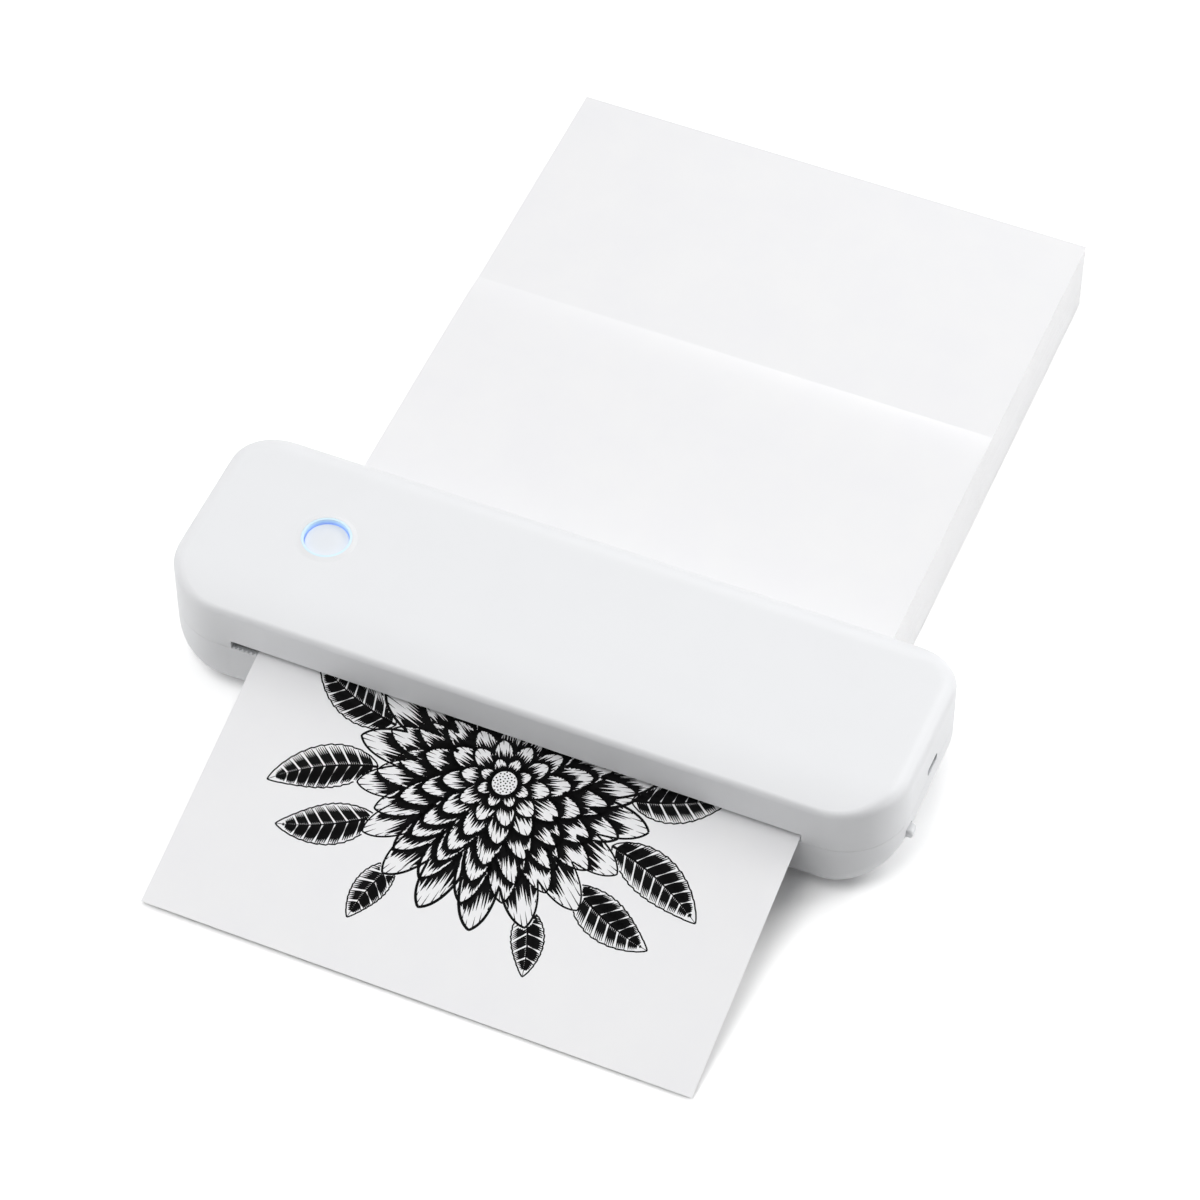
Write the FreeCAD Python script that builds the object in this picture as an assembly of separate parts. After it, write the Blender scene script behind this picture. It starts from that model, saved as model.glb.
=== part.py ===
import FreeCAD, Part
import math
import os

# Portable thermal printer for A4 fan-fold paper, in millimetres.
# X runs along the body to the right, Y to the back, Z up; the table is Z = 0.
os.makedirs("parts", exist_ok=True)
V = FreeCAD.Vector

# Paper and the slots it runs through
PAPER_WIDTH = 210.0
PAPER_THICKNESS = 0.2
SLOT_SPARE = 11.0
SLOT_HEIGHT = 3.9
INLET_HEIGHT = 5.4
SHEET_REACH = 98.5
STACK_LENGTH = 209.5
LIFT_SHARE = 0.5227

# Body shell
END_WIDTH = 31.3
WALL = 2.4
PLAN_FRONT_RADIUS = 25.0
PLAN_REAR_RADIUS = 19.5
TOP_FRONT_ROUND = 3.0
TOP_END_ROUND = 6.0
TOP_REAR_ROUND = 12.0
CROWN_LENGTH = 18.0
CROWN_DROP = 3.8
BASE_FRONT_ROUND = 9.5
BASE_END_ROUND = 17.0
BASE_REAR_ROUND = 11.0
SEAM_GAP = 0.16
FOOT_HEIGHT = 2.0
FOOT_RADIUS = 5.0
FOOT_RECESS = 0.6

# Platen and its gear train
PLATEN_RADIUS = 8.0
PLATEN_UNDER = 8.05
SHAFT_RADIUS = 3.0
NIP_GAP = 0.05
GEAR_MODULE = 0.5
PLATEN_TEETH = 36
IDLER_TEETH = 48
PINION_TEETH = 18
GEAR_FACE = 5.0
GEAR_BACKLASH = 0.08
IDLER_PIN_RADIUS = 2.0
MOTOR_RADIUS = 10.0
MOTOR_LENGTH = 20.0
MOTOR_SHAFT_RADIUS = 1.0
PLATE_THICKNESS = 1.6
FRONT_SPACE = 29.0
REAR_SPACE = 9.934

# Print head and the space over it
HEAD_DEPTH = 24.0
HEAD_HEIGHT = 7.4
HEAD_PIN_RADIUS = 1.5
SUBSTRATE_THICKNESS = 1.0
SPRING_SPACE = 4.4
BOARD_SPACE = 6.2
BOARD_THICKNESS = 1.2
LINER_THICKNESS = 1.2

# Cover hinge
HINGE_INSET = 4.5
HINGE_DROP = 7.5
HINGE_PIN_RADIUS = 1.2
KNUCKLE_RADIUS = 2.7
KNUCKLE_WIDTH = 4.0
POST_WIDTH = 5.0

# Power button and its light ring
BUTTON_INSET = 19.0
BUTTON_RADIUS = 8.2
BUTTON_RECESS = 1.5
BUTTON_TRAVEL = 0.8
RING_WIDTH = 0.95
RING_LIP = 0.6
COLLAR_WIDTH = 2.4

# Socket and release button in the right end
SOCKET_Y = 4.0
SOCKET_WIDTH = 8.94
SOCKET_THICKNESS = 3.26
SOCKET_DEPTH = 7.3
RELEASE_WIDTH = 5.0
RELEASE_TALL = 4.0
RELEASE_PROUD = 2.2

# Battery
CELL_RADIUS = 9.15
CELL_LENGTH = 65.2
CELL_GAP = 1.2

# Fits and small fasteners
CLEARANCE = 0.3
RUNNING_FIT = 0.05
SCREW_RADIUS = 0.9
SCREW_GRIP = 5.0
BASE_SCREW_RADIUS = 1.2
BASE_SCREW_HEAD = 2.6
LEG_HALF = 2.2

# Along X: the paper sets the slot, the slot sets the body
SLOT_WIDTH = PAPER_WIDTH + SLOT_SPARE
SLOT_HALF = SLOT_WIDTH / 2
X_END = SLOT_HALF + END_WIDTH
X_IN = X_END - WALL
PAPER_RIGHT = SLOT_HALF - 0.5
PAPER_LEFT = PAPER_RIGHT - PAPER_WIDTH
GUIDE_HALF = SLOT_HALF + 0.5
PLATEN_HALF = GUIDE_HALF - 0.5
PLATE_X = GUIDE_HALF + 2.2
GEAR_X = PLATE_X + PLATE_THICKNESS + 3.2
GEAR_OUT = GEAR_X + GEAR_FACE
POST_X = SLOT_HALF + 8.0
INLET_HALF = POST_X + POST_WIDTH / 2 + CLEARANCE + KNUCKLE_WIDTH + 0.7
HEAD_HALF = SLOT_HALF - 0.5
BUTTON_X = BUTTON_INSET - SLOT_HALF

# Along Z: the platen sets the paper height, the head and boards set the ceiling
FLOOR = FOOT_HEIGHT + WALL
PLATEN_Z = FLOOR + PLATEN_UNDER + PLATEN_RADIUS
NIP_HEIGHT = PLATEN_Z + PLATEN_RADIUS + NIP_GAP + PAPER_THICKNESS / 2
SEAM_HEIGHT = NIP_HEIGHT - 3.1
BASE_TOP = SEAM_HEIGHT - SEAM_GAP / 2
COVER_BOTTOM = SEAM_HEIGHT + SEAM_GAP / 2
SLOT_TOP = COVER_BOTTOM + SLOT_HEIGHT
INLET_SILL = NIP_HEIGHT + 2.9
INLET_TOP = INLET_SILL + INLET_HEIGHT
STACK_HEIGHT = INLET_SILL + 0.5
HEAD_TOP = NIP_HEIGHT + HEAD_HEIGHT
HEAD_PIVOT_Z = HEAD_TOP - HEAD_PIN_RADIUS - 1.0
SPRING_SEAT = HEAD_TOP + SPRING_SPACE
CEILING = SPRING_SEAT + BOARD_SPACE
BODY_HEIGHT = CEILING + WALL
HINGE_Z = BODY_HEIGHT - HINGE_DROP
MAIN_BOARD = CEILING - SCREW_GRIP - BOARD_THICKNESS - 0.4
BUTTON_BOARD = MAIN_BOARD - 2.6
FRONT_LINER = SLOT_TOP + 1.4
REAR_LINER = INLET_SILL + 2.7
SOCKET_Z = COVER_BOTTOM + SOCKET_THICKNESS + 0.34
USB_BOARD = SOCKET_Z + SOCKET_THICKNESS / 2
RELEASE_Z = SEAM_HEIGHT - RELEASE_TALL - 3.5
HOOK_Z = COVER_BOTTOM + 1.85

# Along Y: the gear train sets the depth, the platen stands a fixed way behind the slot
IDLER_Z = FLOOR + GEAR_MODULE * (IDLER_TEETH + 2) / 2 + 1.3
MOTOR_Z = FLOOR + MOTOR_RADIUS + 0.6
PLATEN_TO_IDLER = GEAR_MODULE * (PLATEN_TEETH + IDLER_TEETH) / 2
IDLER_TO_MOTOR = GEAR_MODULE * (IDLER_TEETH + PINION_TEETH) / 2
IDLER_BACK = math.sqrt(PLATEN_TO_IDLER ** 2 - (PLATEN_Z - IDLER_Z) ** 2)
MOTOR_BACK = math.sqrt(IDLER_TO_MOTOR ** 2 - (IDLER_Z - MOTOR_Z) ** 2)
Y_REAR = (FRONT_SPACE + IDLER_BACK + MOTOR_BACK + MOTOR_RADIUS + REAR_SPACE) / 2
Y_FRONT = -Y_REAR
Y_IN = Y_REAR - WALL
PLATEN_Y = Y_FRONT + FRONT_SPACE
PLATEN_AT = (PLATEN_Y, PLATEN_Z)
IDLER_AT = (PLATEN_Y + IDLER_BACK, IDLER_Z)
MOTOR_AT = (IDLER_AT[0] + MOTOR_BACK, MOTOR_Z)
HEAD_FRONT = PLATEN_Y - HEAD_DEPTH / 2
HEAD_REAR = PLATEN_Y + HEAD_DEPTH / 2
HEAD_PIVOT_Y = HEAD_REAR + 2.0
LINER_Y = HEAD_PIVOT_Y + 8.0
FRONT_LINER_Y = HEAD_FRONT - 7.0
FRONT_LEG_Y = Y_FRONT + BASE_FRONT_ROUND + LEG_HALF + 1.6
REAR_LEG_Y = PLATEN_Y + PLATEN_RADIUS + 9.0
SENSOR_Y = REAR_LEG_Y + 6.0
TRACK_Y = REAR_LEG_Y + 18.2
HINGE_Y = Y_REAR - HINGE_INSET
RELEASE_Y = SOCKET_Y - 22.0
CELL_Y = MOTOR_AT[0] - 2.0
STACK_FRONT = Y_REAR + 7.0
STACK_BACK = STACK_FRONT + STACK_LENGTH
FAR = 2 * X_END


def box(x0, x1, y0, y1, z0, z1):
    return Part.makeBox(x1 - x0, y1 - y0, z1 - z0, V(x0, y0, z0))


def rod_x(x0, x1, y, z, radius):
    return Part.makeCylinder(radius, x1 - x0, V(x0, y, z), V(1, 0, 0))


def rod_z(x, y, z0, z1, radius):
    return Part.makeCylinder(radius, z1 - z0, V(x, y, z0), V(0, 0, 1))


def prism_x(points, x0, x1):
    """A (y, z) polygon drawn out along X."""
    corners = [V(x0, y, z) for y, z in points]
    face = Part.Face(Part.makePolygon(corners + corners[:1]))
    return face.extrude(V(x1 - x0, 0, 0))


def joined(shapes):
    first = shapes[0]
    return first.multiFuse(shapes[1:]).removeSplitter()


def mirrored(shape):
    """The same shape at the other end of the body."""
    return shape.mirror(V(0, 0, 0), V(1, 0, 0))


def strip_outline(points, radii, side):
    """Edges of one side of a bent strip: straight runs with tangent arcs at the bends."""
    edges = []
    start = None
    for i, (y, z) in enumerate(points):
        if i == 0 or i == len(points) - 1:
            j = 1 if i == 0 else i
            dy = points[j][0] - points[j - 1][0]
            dz = points[j][1] - points[j - 1][1]
            size = math.hypot(dy, dz)
            here = V(0, y - dz / size * side, z + dy / size * side)
            if start is not None:
                edges.append(Part.LineSegment(start, here).toShape())
            start = here
            continue
        y0, z0 = points[i - 1]
        y1, z1 = points[i + 1]
        a0 = math.atan2(z - z0, y - y0)
        a1 = math.atan2(z1 - z, y1 - y)
        turn = math.atan2(math.sin(a1 - a0), math.cos(a1 - a0))
        reach = radii[i - 1] * math.tan(abs(turn) / 2)
        sign = 1 if turn > 0 else -1
        cy = y - reach * math.cos(a0) - sign * radii[i - 1] * math.sin(a0)
        cz = z - reach * math.sin(a0) + sign * radii[i - 1] * math.cos(a0)
        r = radii[i - 1] - sign * side
        arc = []
        for k in (0.0, 0.5, 1.0):
            a = a0 + turn * k
            arc.append(V(0, cy + sign * r * math.sin(a), cz - sign * r * math.cos(a)))
        edges.append(Part.LineSegment(start, arc[0]).toShape())
        edges.append(Part.Arc(arc[0], arc[1], arc[2]).toShape())
        start = arc[2]
    return edges


def strip_x(points, radii, thickness, x0, x1):
    """A strip of even thickness that follows a (y, z) path, drawn out along X."""
    upper = strip_outline(points, radii, thickness / 2)
    lower = strip_outline(points, radii, -thickness / 2)
    first = Part.LineSegment(lower[0].Vertexes[0].Point, upper[0].Vertexes[0].Point).toShape()
    last = Part.LineSegment(upper[-1].Vertexes[-1].Point, lower[-1].Vertexes[-1].Point).toShape()
    wire = Part.Wire(Part.__sortEdges__(upper + [last] + lower + [first]))
    face = Part.Face(wire)
    face.translate(V(x0, 0, 0))
    return face.extrude(V(x1 - x0, 0, 0))


def gear_x(x0, x1, centre, teeth, phase):
    """A spur gear about X with involute flanks; one tooth stands at the angle phase."""
    pressure = math.radians(20)
    pitch = GEAR_MODULE * teeth / 2
    base = pitch * math.cos(pressure)
    root = pitch - 1.25 * GEAR_MODULE
    tip = pitch + GEAR_MODULE
    half = (math.pi * GEAR_MODULE / 2 - GEAR_BACKLASH) / (2 * pitch)
    half += math.tan(pressure) - pressure
    flank = [(root, half)]
    for k in range(5):
        r = base + (tip - base) * k / 4
        a = math.acos(base / r)
        flank.append((r, half - math.tan(a) + a))
    points = []
    for i in range(teeth):
        middle = phase + 2 * math.pi * i / teeth
        for r, a in flank:
            points.append((r, middle - a))
        for r, a in reversed(flank):
            points.append((r, middle + a))
    cy, cz = centre
    return prism_x([(cy + r * math.cos(a), cz + r * math.sin(a)) for r, a in points], x0, x1)


def edge_rounds(edges, front, ends, rear, inset):
    """Radius at both ends of each numbered edge of a rim: front, rear and end edges, and a change round the corners."""
    rounds = []
    onward = 0
    for number, edge in edges:
        sizes = []
        ends_at = [edge.valueAt(edge.FirstParameter), edge.valueAt(edge.LastParameter)]
        turn = ends_at[0].x * ends_at[1].y - ends_at[0].y * ends_at[1].x
        onward = onward or turn
        if turn * onward < 0:
            ends_at.reverse()
        for y in (ends_at[0].y, ends_at[1].y):
            share = min(1.0, max(0.0, (y - Y_FRONT - inset) / (PLAN_FRONT_RADIUS - inset)))
            size = front + (ends - front) * share
            if y > Y_REAR - inset - 0.01:
                size = rear
            sizes.append(size - inset)
        rounds.append((number, sizes[0], sizes[1]))
    return rounds


def rounded_body(inset):
    """The closed body outline, moved inwards by inset on every side; its top falls away towards the front."""
    low = FOOT_HEIGHT + inset
    high = BODY_HEIGHT - inset
    plan = box(-X_END + inset, X_END - inset, Y_FRONT + inset, Y_REAR - inset, low - 5, high + 5)
    upright = [e for e in plan.Edges if e.BoundBox.ZLength > 1]
    plan = plan.makeFillet(PLAN_FRONT_RADIUS - inset, [e for e in upright if e.CenterOfMass.y < 0])
    upright = [e for e in plan.Edges if e.BoundBox.ZLength > 1 and e.BoundBox.YMin > Y_REAR - inset - 0.01]
    plan = plan.makeFillet(PLAN_REAR_RADIUS - inset, upright)
    crest = Y_FRONT + CROWN_LENGTH
    radius = (CROWN_LENGTH ** 2 + CROWN_DROP ** 2) / (2 * CROWN_DROP)
    slope = []
    for back in (0.0, CROWN_LENGTH / 2, CROWN_LENGTH + 5):
        slope.append(V(-FAR, crest - back, high - radius + math.sqrt(radius ** 2 - back ** 2)))
    outline = Part.makePolygon([slope[2], V(-FAR, slope[2].y, low), V(-FAR, Y_REAR + 5, low),
                                V(-FAR, Y_REAR + 5, high), slope[0]])
    side = Part.Face(Part.Wire([Part.Arc(slope[0], slope[1], slope[2]).toShape()] + outline.Edges))
    block = plan.common(side.extrude(V(2 * FAR, 0, 0)))
    numbered = list(enumerate(block.Edges, 1))
    under = [(n, e) for n, e in numbered if e.BoundBox.ZMax < low + 0.01]
    rim = [(n, e) for n, e in numbered if e.BoundBox.ZMin > high - CROWN_DROP - 0.01
           and not (e.BoundBox.XLength > X_END and abs(e.CenterOfMass.y - crest) < 0.01)]
    document = FreeCAD.newDocument()
    base = document.addObject("Part::Feature", "Block")
    base.Shape = block
    rounded = document.addObject("Part::Fillet", "Rounded")
    rounded.Base = base
    rounded.Edges = (edge_rounds(under, BASE_FRONT_ROUND, BASE_END_ROUND, BASE_REAR_ROUND, inset)
                     + edge_rounds(rim, TOP_FRONT_ROUND, TOP_END_ROUND, TOP_REAR_ROUND, inset))
    document.recompute()
    shape = rounded.Shape.copy()
    FreeCAD.closeDocument(document.Name)
    return shape


NODES = {}

OUTER = rounded_body(0.0)
INNER = rounded_body(WALL)
SHELL = OUTER.cut(INNER)

# Places that several pieces share
FRONT_LEG_X = [GUIDE_HALF * share for share in (-0.9, -0.3, 0.3, 0.9)]
REAR_LEG_X = [GUIDE_HALF * share for share in (-0.955, -0.315, 0.315, 0.955)]
GUIDE_SCREWS = [(x, FRONT_LEG_Y) for x in FRONT_LEG_X[::3]] + [(x, REAR_LEG_Y) for x in REAR_LEG_X[::3]]
FEET = [(sx * (X_END - 26.0), sy * (Y_REAR - 17.0)) for sx in (-1, 1) for sy in (-1, 1)] + [(0.0, 0.0)]
LINER_X = [SLOT_HALF * share for share in (-0.6, -0.1, 0.42, 0.92)]
FRONT_LINER_X = [SLOT_HALF * share for share in (-0.81, -0.27, 0.27, 0.81)]
SPRING_X = [SLOT_HALF * share for share in (-0.45, -0.15, 0.15, 0.45)]

# Base shell: tub with raised sill at the paper inlet and two hinge posts
release_stem = box(X_END - 20, X_END + 10, RELEASE_Y - RELEASE_WIDTH / 2 - CLEARANCE,
                   RELEASE_Y + RELEASE_WIDTH / 2 + CLEARANCE,
                   RELEASE_Z - RELEASE_TALL / 2 - CLEARANCE,
                   RELEASE_Z + RELEASE_TALL / 2 + CLEARANCE)
base = SHELL.common(box(-FAR, FAR, -FAR, FAR, 0, BASE_TOP)).cut(release_stem)
corner = box(INLET_HALF - CLEARANCE, FAR, Y_REAR - 12, FAR, BASE_TOP - 0.6, BASE_TOP + 1)
base = base.cut(corner).cut(mirrored(corner))
sill_half = INLET_HALF - CLEARANCE
sill = SHELL.common(box(-sill_half, sill_half, Y_IN - 6, FAR, BASE_TOP - 1, INLET_SILL))
post = box(POST_X - POST_WIDTH / 2, POST_X + POST_WIDTH / 2,
           HINGE_Y - KNUCKLE_RADIUS, HINGE_Y + KNUCKLE_RADIUS, FLOOR + BASE_REAR_ROUND - WALL, HINGE_Z)
post = post.fuse(rod_x(POST_X - POST_WIDTH / 2, POST_X + POST_WIDTH / 2, HINGE_Y, HINGE_Z, KNUCKLE_RADIUS))
post = post.cut(rod_x(POST_X - 10, POST_X + 10, HINGE_Y, HINGE_Z, HINGE_PIN_RADIUS))
rail = box(X_END - 14, X_END - 11, RELEASE_Y + 2.3, RELEASE_Y + 4.5, FLOOR - 1, RELEASE_Z + 3)
rails = [rail, rail.mirror(V(0, RELEASE_Y, 0), V(0, 1, 0))]
base = joined([base, sill, post, mirrored(post)] + rails)
for x, y in FEET:
    base = base.cut(rod_z(x, y, 0, FOOT_HEIGHT + FOOT_RECESS, FOOT_RADIUS))
for x, y in GUIDE_SCREWS:
    base = base.cut(rod_z(x, y, 0, FLOOR + 1, BASE_SCREW_RADIUS))
    base = base.cut(rod_z(x, y, 0, FOOT_HEIGHT + WALL / 2, BASE_SCREW_HEAD))
NODES["base_shell"] = base

NODES["rubber_feet"] = Part.makeCompound(
    [rod_z(x, y, 0, FOOT_HEIGHT + FOOT_RECESS, FOOT_RADIUS) for x, y in FEET])

screws = []
for x, y in GUIDE_SCREWS:
    screw = rod_z(x, y, FOOT_HEIGHT + 0.2, FOOT_HEIGHT + WALL / 2, BASE_SCREW_HEAD)
    screw = screw.fuse(rod_z(x, y, FOOT_HEIGHT + 1, FLOOR + 9.0, BASE_SCREW_RADIUS))
    screws.append(screw.cut(box(x - 2, x + 2, y - 0.3, y + 0.3, 0, FOOT_HEIGHT + 0.7)))
NODES["base_screws"] = Part.makeCompound(screws)

# Paper guides in the base, on legs that take the base screws
guide = [box(-GUIDE_HALF, GUIDE_HALF, Y_FRONT + WALL + 2.6, PLATEN_Y - PLATEN_RADIUS - 1.0,
             SEAM_HEIGHT - 0.8, SEAM_HEIGHT + 0.4)]
for x in FRONT_LEG_X:
    guide.append(box(x - LEG_HALF, x + LEG_HALF, FRONT_LEG_Y - LEG_HALF, FRONT_LEG_Y + LEG_HALF,
                     FLOOR, SEAM_HEIGHT))
guide = joined(guide)
for x, y in GUIDE_SCREWS[:2]:
    guide = guide.cut(rod_z(x, y, FLOOR - 1, FLOOR + 9.0, BASE_SCREW_RADIUS))
NODES["front_paper_guide"] = guide

SLOPE_FROM = (PLATEN_Y + PLATEN_RADIUS + 3.0, NIP_HEIGHT - 1.2)
SLOPE_TO = (Y_IN - 6.0, INLET_SILL - 0.6)
RISE = (SLOPE_TO[1] - SLOPE_FROM[1]) / (SLOPE_TO[0] - SLOPE_FROM[0])


def slope_at(y):
    return SLOPE_FROM[1] + (y - SLOPE_FROM[0]) * RISE


SENSOR_X = SLOT_HALF * 0.13
TRACK_HALF = 1.2
WIDTH_GUIDE_X = PAPER_LEFT - 0.4
guide = [prism_x([SLOPE_FROM, SLOPE_TO, (SLOPE_TO[0], SLOPE_TO[1] - 1.2), (SLOPE_FROM[0], SLOPE_FROM[1] - 1.2)],
                 -GUIDE_HALF, GUIDE_HALF)]
for x in REAR_LEG_X:
    guide.append(box(x - LEG_HALF, x + LEG_HALF, REAR_LEG_Y - LEG_HALF, REAR_LEG_Y + LEG_HALF,
                     FLOOR, slope_at(REAR_LEG_Y) - 0.6))
guide = joined(guide)
for x, y in GUIDE_SCREWS[2:]:
    guide = guide.cut(rod_z(x, y, FLOOR - 1, FLOOR + 9.0, BASE_SCREW_RADIUS))
guide = guide.cut(box(SENSOR_X - 4.2, SENSOR_X + 4.2, SENSOR_Y - 2.7, SENSOR_Y + 2.7, FLOOR, HINGE_Z))
guide = guide.cut(box(WIDTH_GUIDE_X - 10.5, WIDTH_GUIDE_X - 0.3, TRACK_Y - TRACK_HALF, TRACK_Y + TRACK_HALF,
                      FLOOR, HINGE_Z))
NODES["rear_paper_guide"] = guide

NODES["paper_sensor"] = box(SENSOR_X - 4, SENSOR_X + 4, SENSOR_Y - 2.5, SENSOR_Y + 2.5,
                            slope_at(SENSOR_Y) - 4.5, slope_at(SENSOR_Y) - 0.2)

low = CLEARANCE
near = TRACK_Y - 9.0
back = TRACK_Y + 9.0
guide = prism_x([(near, slope_at(near) + low), (back, slope_at(back) + low), (back, INLET_SILL + 2.0),
                 (back - 3, REAR_LINER - CLEARANCE), (near + 3, REAR_LINER - CLEARANCE), (near, INLET_SILL + 1.0)],
                WIDTH_GUIDE_X - 3.6, WIDTH_GUIDE_X)
tongue = box(WIDTH_GUIDE_X - 3.0, WIDTH_GUIDE_X - 1.0, TRACK_Y - TRACK_HALF + CLEARANCE,
             TRACK_Y + TRACK_HALF - CLEARANCE, slope_at(TRACK_Y) - 2.0, slope_at(TRACK_Y) + 1.0)
NODES["width_guide"] = joined([guide, tongue])

# Tear bar: toothed steel strip on the lower lip of the slot
TOOTH_PITCH = 1.7
TOOTH_DEPTH = 1.3
bar_half = SLOT_HALF - 0.5
count = int(2 * bar_half / TOOTH_PITCH)
corners = [V(bar_half, Y_FRONT + 2.1, BASE_TOP), V(-bar_half, Y_FRONT + 2.1, BASE_TOP)]
for i in range(count):
    left = -bar_half + 2 * bar_half * i / count
    corners.append(V(left, Y_FRONT + 0.2 + TOOTH_DEPTH, BASE_TOP))
    corners.append(V(left + bar_half / count, Y_FRONT + 0.2, BASE_TOP))
corners.append(V(bar_half, Y_FRONT + 0.2 + TOOTH_DEPTH, BASE_TOP))
NODES["tear_bar"] = Part.Face(Part.makePolygon(corners + corners[:1])).extrude(V(0, 0, 0.5))

# Gear plate, bearing bracket and bushes
BUSH_RADIUS = SHAFT_RADIUS + 2.0
plate_top = PLATEN_Z + BUSH_RADIUS + 1.6
plate = prism_x([(PLATEN_Y - 9, FLOOR), (MOTOR_AT[0] + 9, FLOOR), (MOTOR_AT[0] + 9, MOTOR_Z + 9),
                 (PLATEN_Y + 9, plate_top), (PLATEN_Y - 9, plate_top)], -PLATE_X - PLATE_THICKNESS, -PLATE_X)
plate = plate.cut(rod_x(-FAR, 0, PLATEN_Y, PLATEN_Z, BUSH_RADIUS))
plate = plate.cut(rod_x(-FAR, 0, IDLER_AT[0], IDLER_AT[1], IDLER_PIN_RADIUS))
NODES["gear_plate"] = plate.cut(rod_x(-FAR, 0, MOTOR_AT[0], MOTOR_AT[1], 3 * MOTOR_SHAFT_RADIUS))
plate = box(PLATE_X, PLATE_X + PLATE_THICKNESS, PLATEN_Y - 9, PLATEN_Y + 9, FLOOR, plate_top)
foot = box(PLATE_X, PLATE_X + 8, PLATEN_Y - 9, PLATEN_Y + 9, FLOOR, FLOOR + 1.6)
NODES["bearing_bracket"] = joined([plate, foot]).cut(rod_x(0, FAR, PLATEN_Y, PLATEN_Z, BUSH_RADIUS))

bush = rod_x(PLATE_X - 0.6, PLATE_X + PLATE_THICKNESS + 0.6, PLATEN_Y, PLATEN_Z, BUSH_RADIUS)
bush = bush.cut(rod_x(0, FAR, PLATEN_Y, PLATEN_Z, SHAFT_RADIUS + RUNNING_FIT))
NODES["platen_bushes"] = Part.makeCompound([bush, mirrored(bush)])

# Platen: steel shaft, rubber sleeve and gear
NODES["platen_shaft"] = rod_x(-GEAR_OUT - 0.6, PLATE_X + PLATE_THICKNESS + 2.0, PLATEN_Y, PLATEN_Z, SHAFT_RADIUS)
sleeve = rod_x(-PLATEN_HALF, PLATEN_HALF, PLATEN_Y, PLATEN_Z, PLATEN_RADIUS)
NODES["platen_rubber"] = sleeve.cut(rod_x(-FAR, FAR, PLATEN_Y, PLATEN_Z, SHAFT_RADIUS))

to_idler = math.atan2(IDLER_AT[1] - PLATEN_Z, IDLER_AT[0] - PLATEN_Y)
to_motor = math.atan2(MOTOR_AT[1] - IDLER_AT[1], MOTOR_AT[0] - IDLER_AT[0])
idler_phase = to_idler + math.pi + math.pi / IDLER_TEETH
step = 2 * math.pi / IDLER_TEETH
lead = (to_motor - idler_phase) % step
pinion_phase = to_motor + math.pi + lead * IDLER_TEETH / PINION_TEETH + math.pi / PINION_TEETH
gear = gear_x(-GEAR_OUT, -GEAR_X, PLATEN_AT, PLATEN_TEETH, to_idler)
NODES["platen_gear"] = gear.cut(rod_x(-FAR, FAR, PLATEN_Y, PLATEN_Z, SHAFT_RADIUS))

gear = gear_x(-GEAR_OUT, -GEAR_X, IDLER_AT, IDLER_TEETH, idler_phase)
hub = rod_x(-GEAR_X, -PLATE_X - PLATE_THICKNESS - 0.4, IDLER_AT[0], IDLER_AT[1], 2 * IDLER_PIN_RADIUS)
NODES["idler_gear"] = gear.fuse(hub).cut(rod_x(-FAR, FAR, IDLER_AT[0], IDLER_AT[1], IDLER_PIN_RADIUS + RUNNING_FIT))
pin = rod_x(-GEAR_OUT - 0.4, -PLATE_X, IDLER_AT[0], IDLER_AT[1], IDLER_PIN_RADIUS)
clip = rod_x(-GEAR_OUT - 1.2, -GEAR_OUT - 0.4, IDLER_AT[0], IDLER_AT[1], 1.7 * IDLER_PIN_RADIUS)
NODES["idler_post"] = pin.fuse(clip)

gear = gear_x(-GEAR_OUT, -GEAR_X, MOTOR_AT, PINION_TEETH, pinion_phase)
NODES["motor_pinion"] = gear.fuse(rod_x(-GEAR_X, -PLATE_X + MOTOR_LENGTH - 3, MOTOR_AT[0], MOTOR_AT[1],
                                           MOTOR_SHAFT_RADIUS))
can = rod_x(-PLATE_X, -PLATE_X + MOTOR_LENGTH, MOTOR_AT[0], MOTOR_AT[1], MOTOR_RADIUS)
can = can.makeFillet(0.8, [e for e in can.Edges if e.BoundBox.XMin > -PLATE_X + MOTOR_LENGTH - 0.01])
NODES["drive_motor"] = can.cut(rod_x(-FAR, -PLATE_X + MOTOR_LENGTH - 2, MOTOR_AT[0], MOTOR_AT[1],
                                      MOTOR_SHAFT_RADIUS + RUNNING_FIT))

# Battery: two cells end to end in a cradle
CELL_Z = FLOOR + 1.0 + CELL_RADIUS
CELL_START = MOTOR_LENGTH - PLATE_X + 9.5
cells = []
for i in range(2):
    x0 = CELL_START + i * (CELL_LENGTH + CELL_GAP)
    cell = rod_x(x0, x0 + CELL_LENGTH - 1.2, CELL_Y, CELL_Z, CELL_RADIUS)
    cells.append(cell.fuse(rod_x(x0 + CELL_LENGTH - 1.3, x0 + CELL_LENGTH, CELL_Y, CELL_Z, 3.0)))
NODES["battery_cells"] = Part.makeCompound(cells)
cell_end = CELL_START + 2 * CELL_LENGTH + CELL_GAP
cradle = box(CELL_START - 2, cell_end + 2, CELL_Y - CELL_RADIUS - 1, CELL_Y + CELL_RADIUS + 1, FLOOR, CELL_Z - 2)
NODES["battery_holder"] = cradle.cut(rod_x(CELL_START - 0.4, cell_end + 0.4, CELL_Y, CELL_Z, CELL_RADIUS + 0.1))

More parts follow.
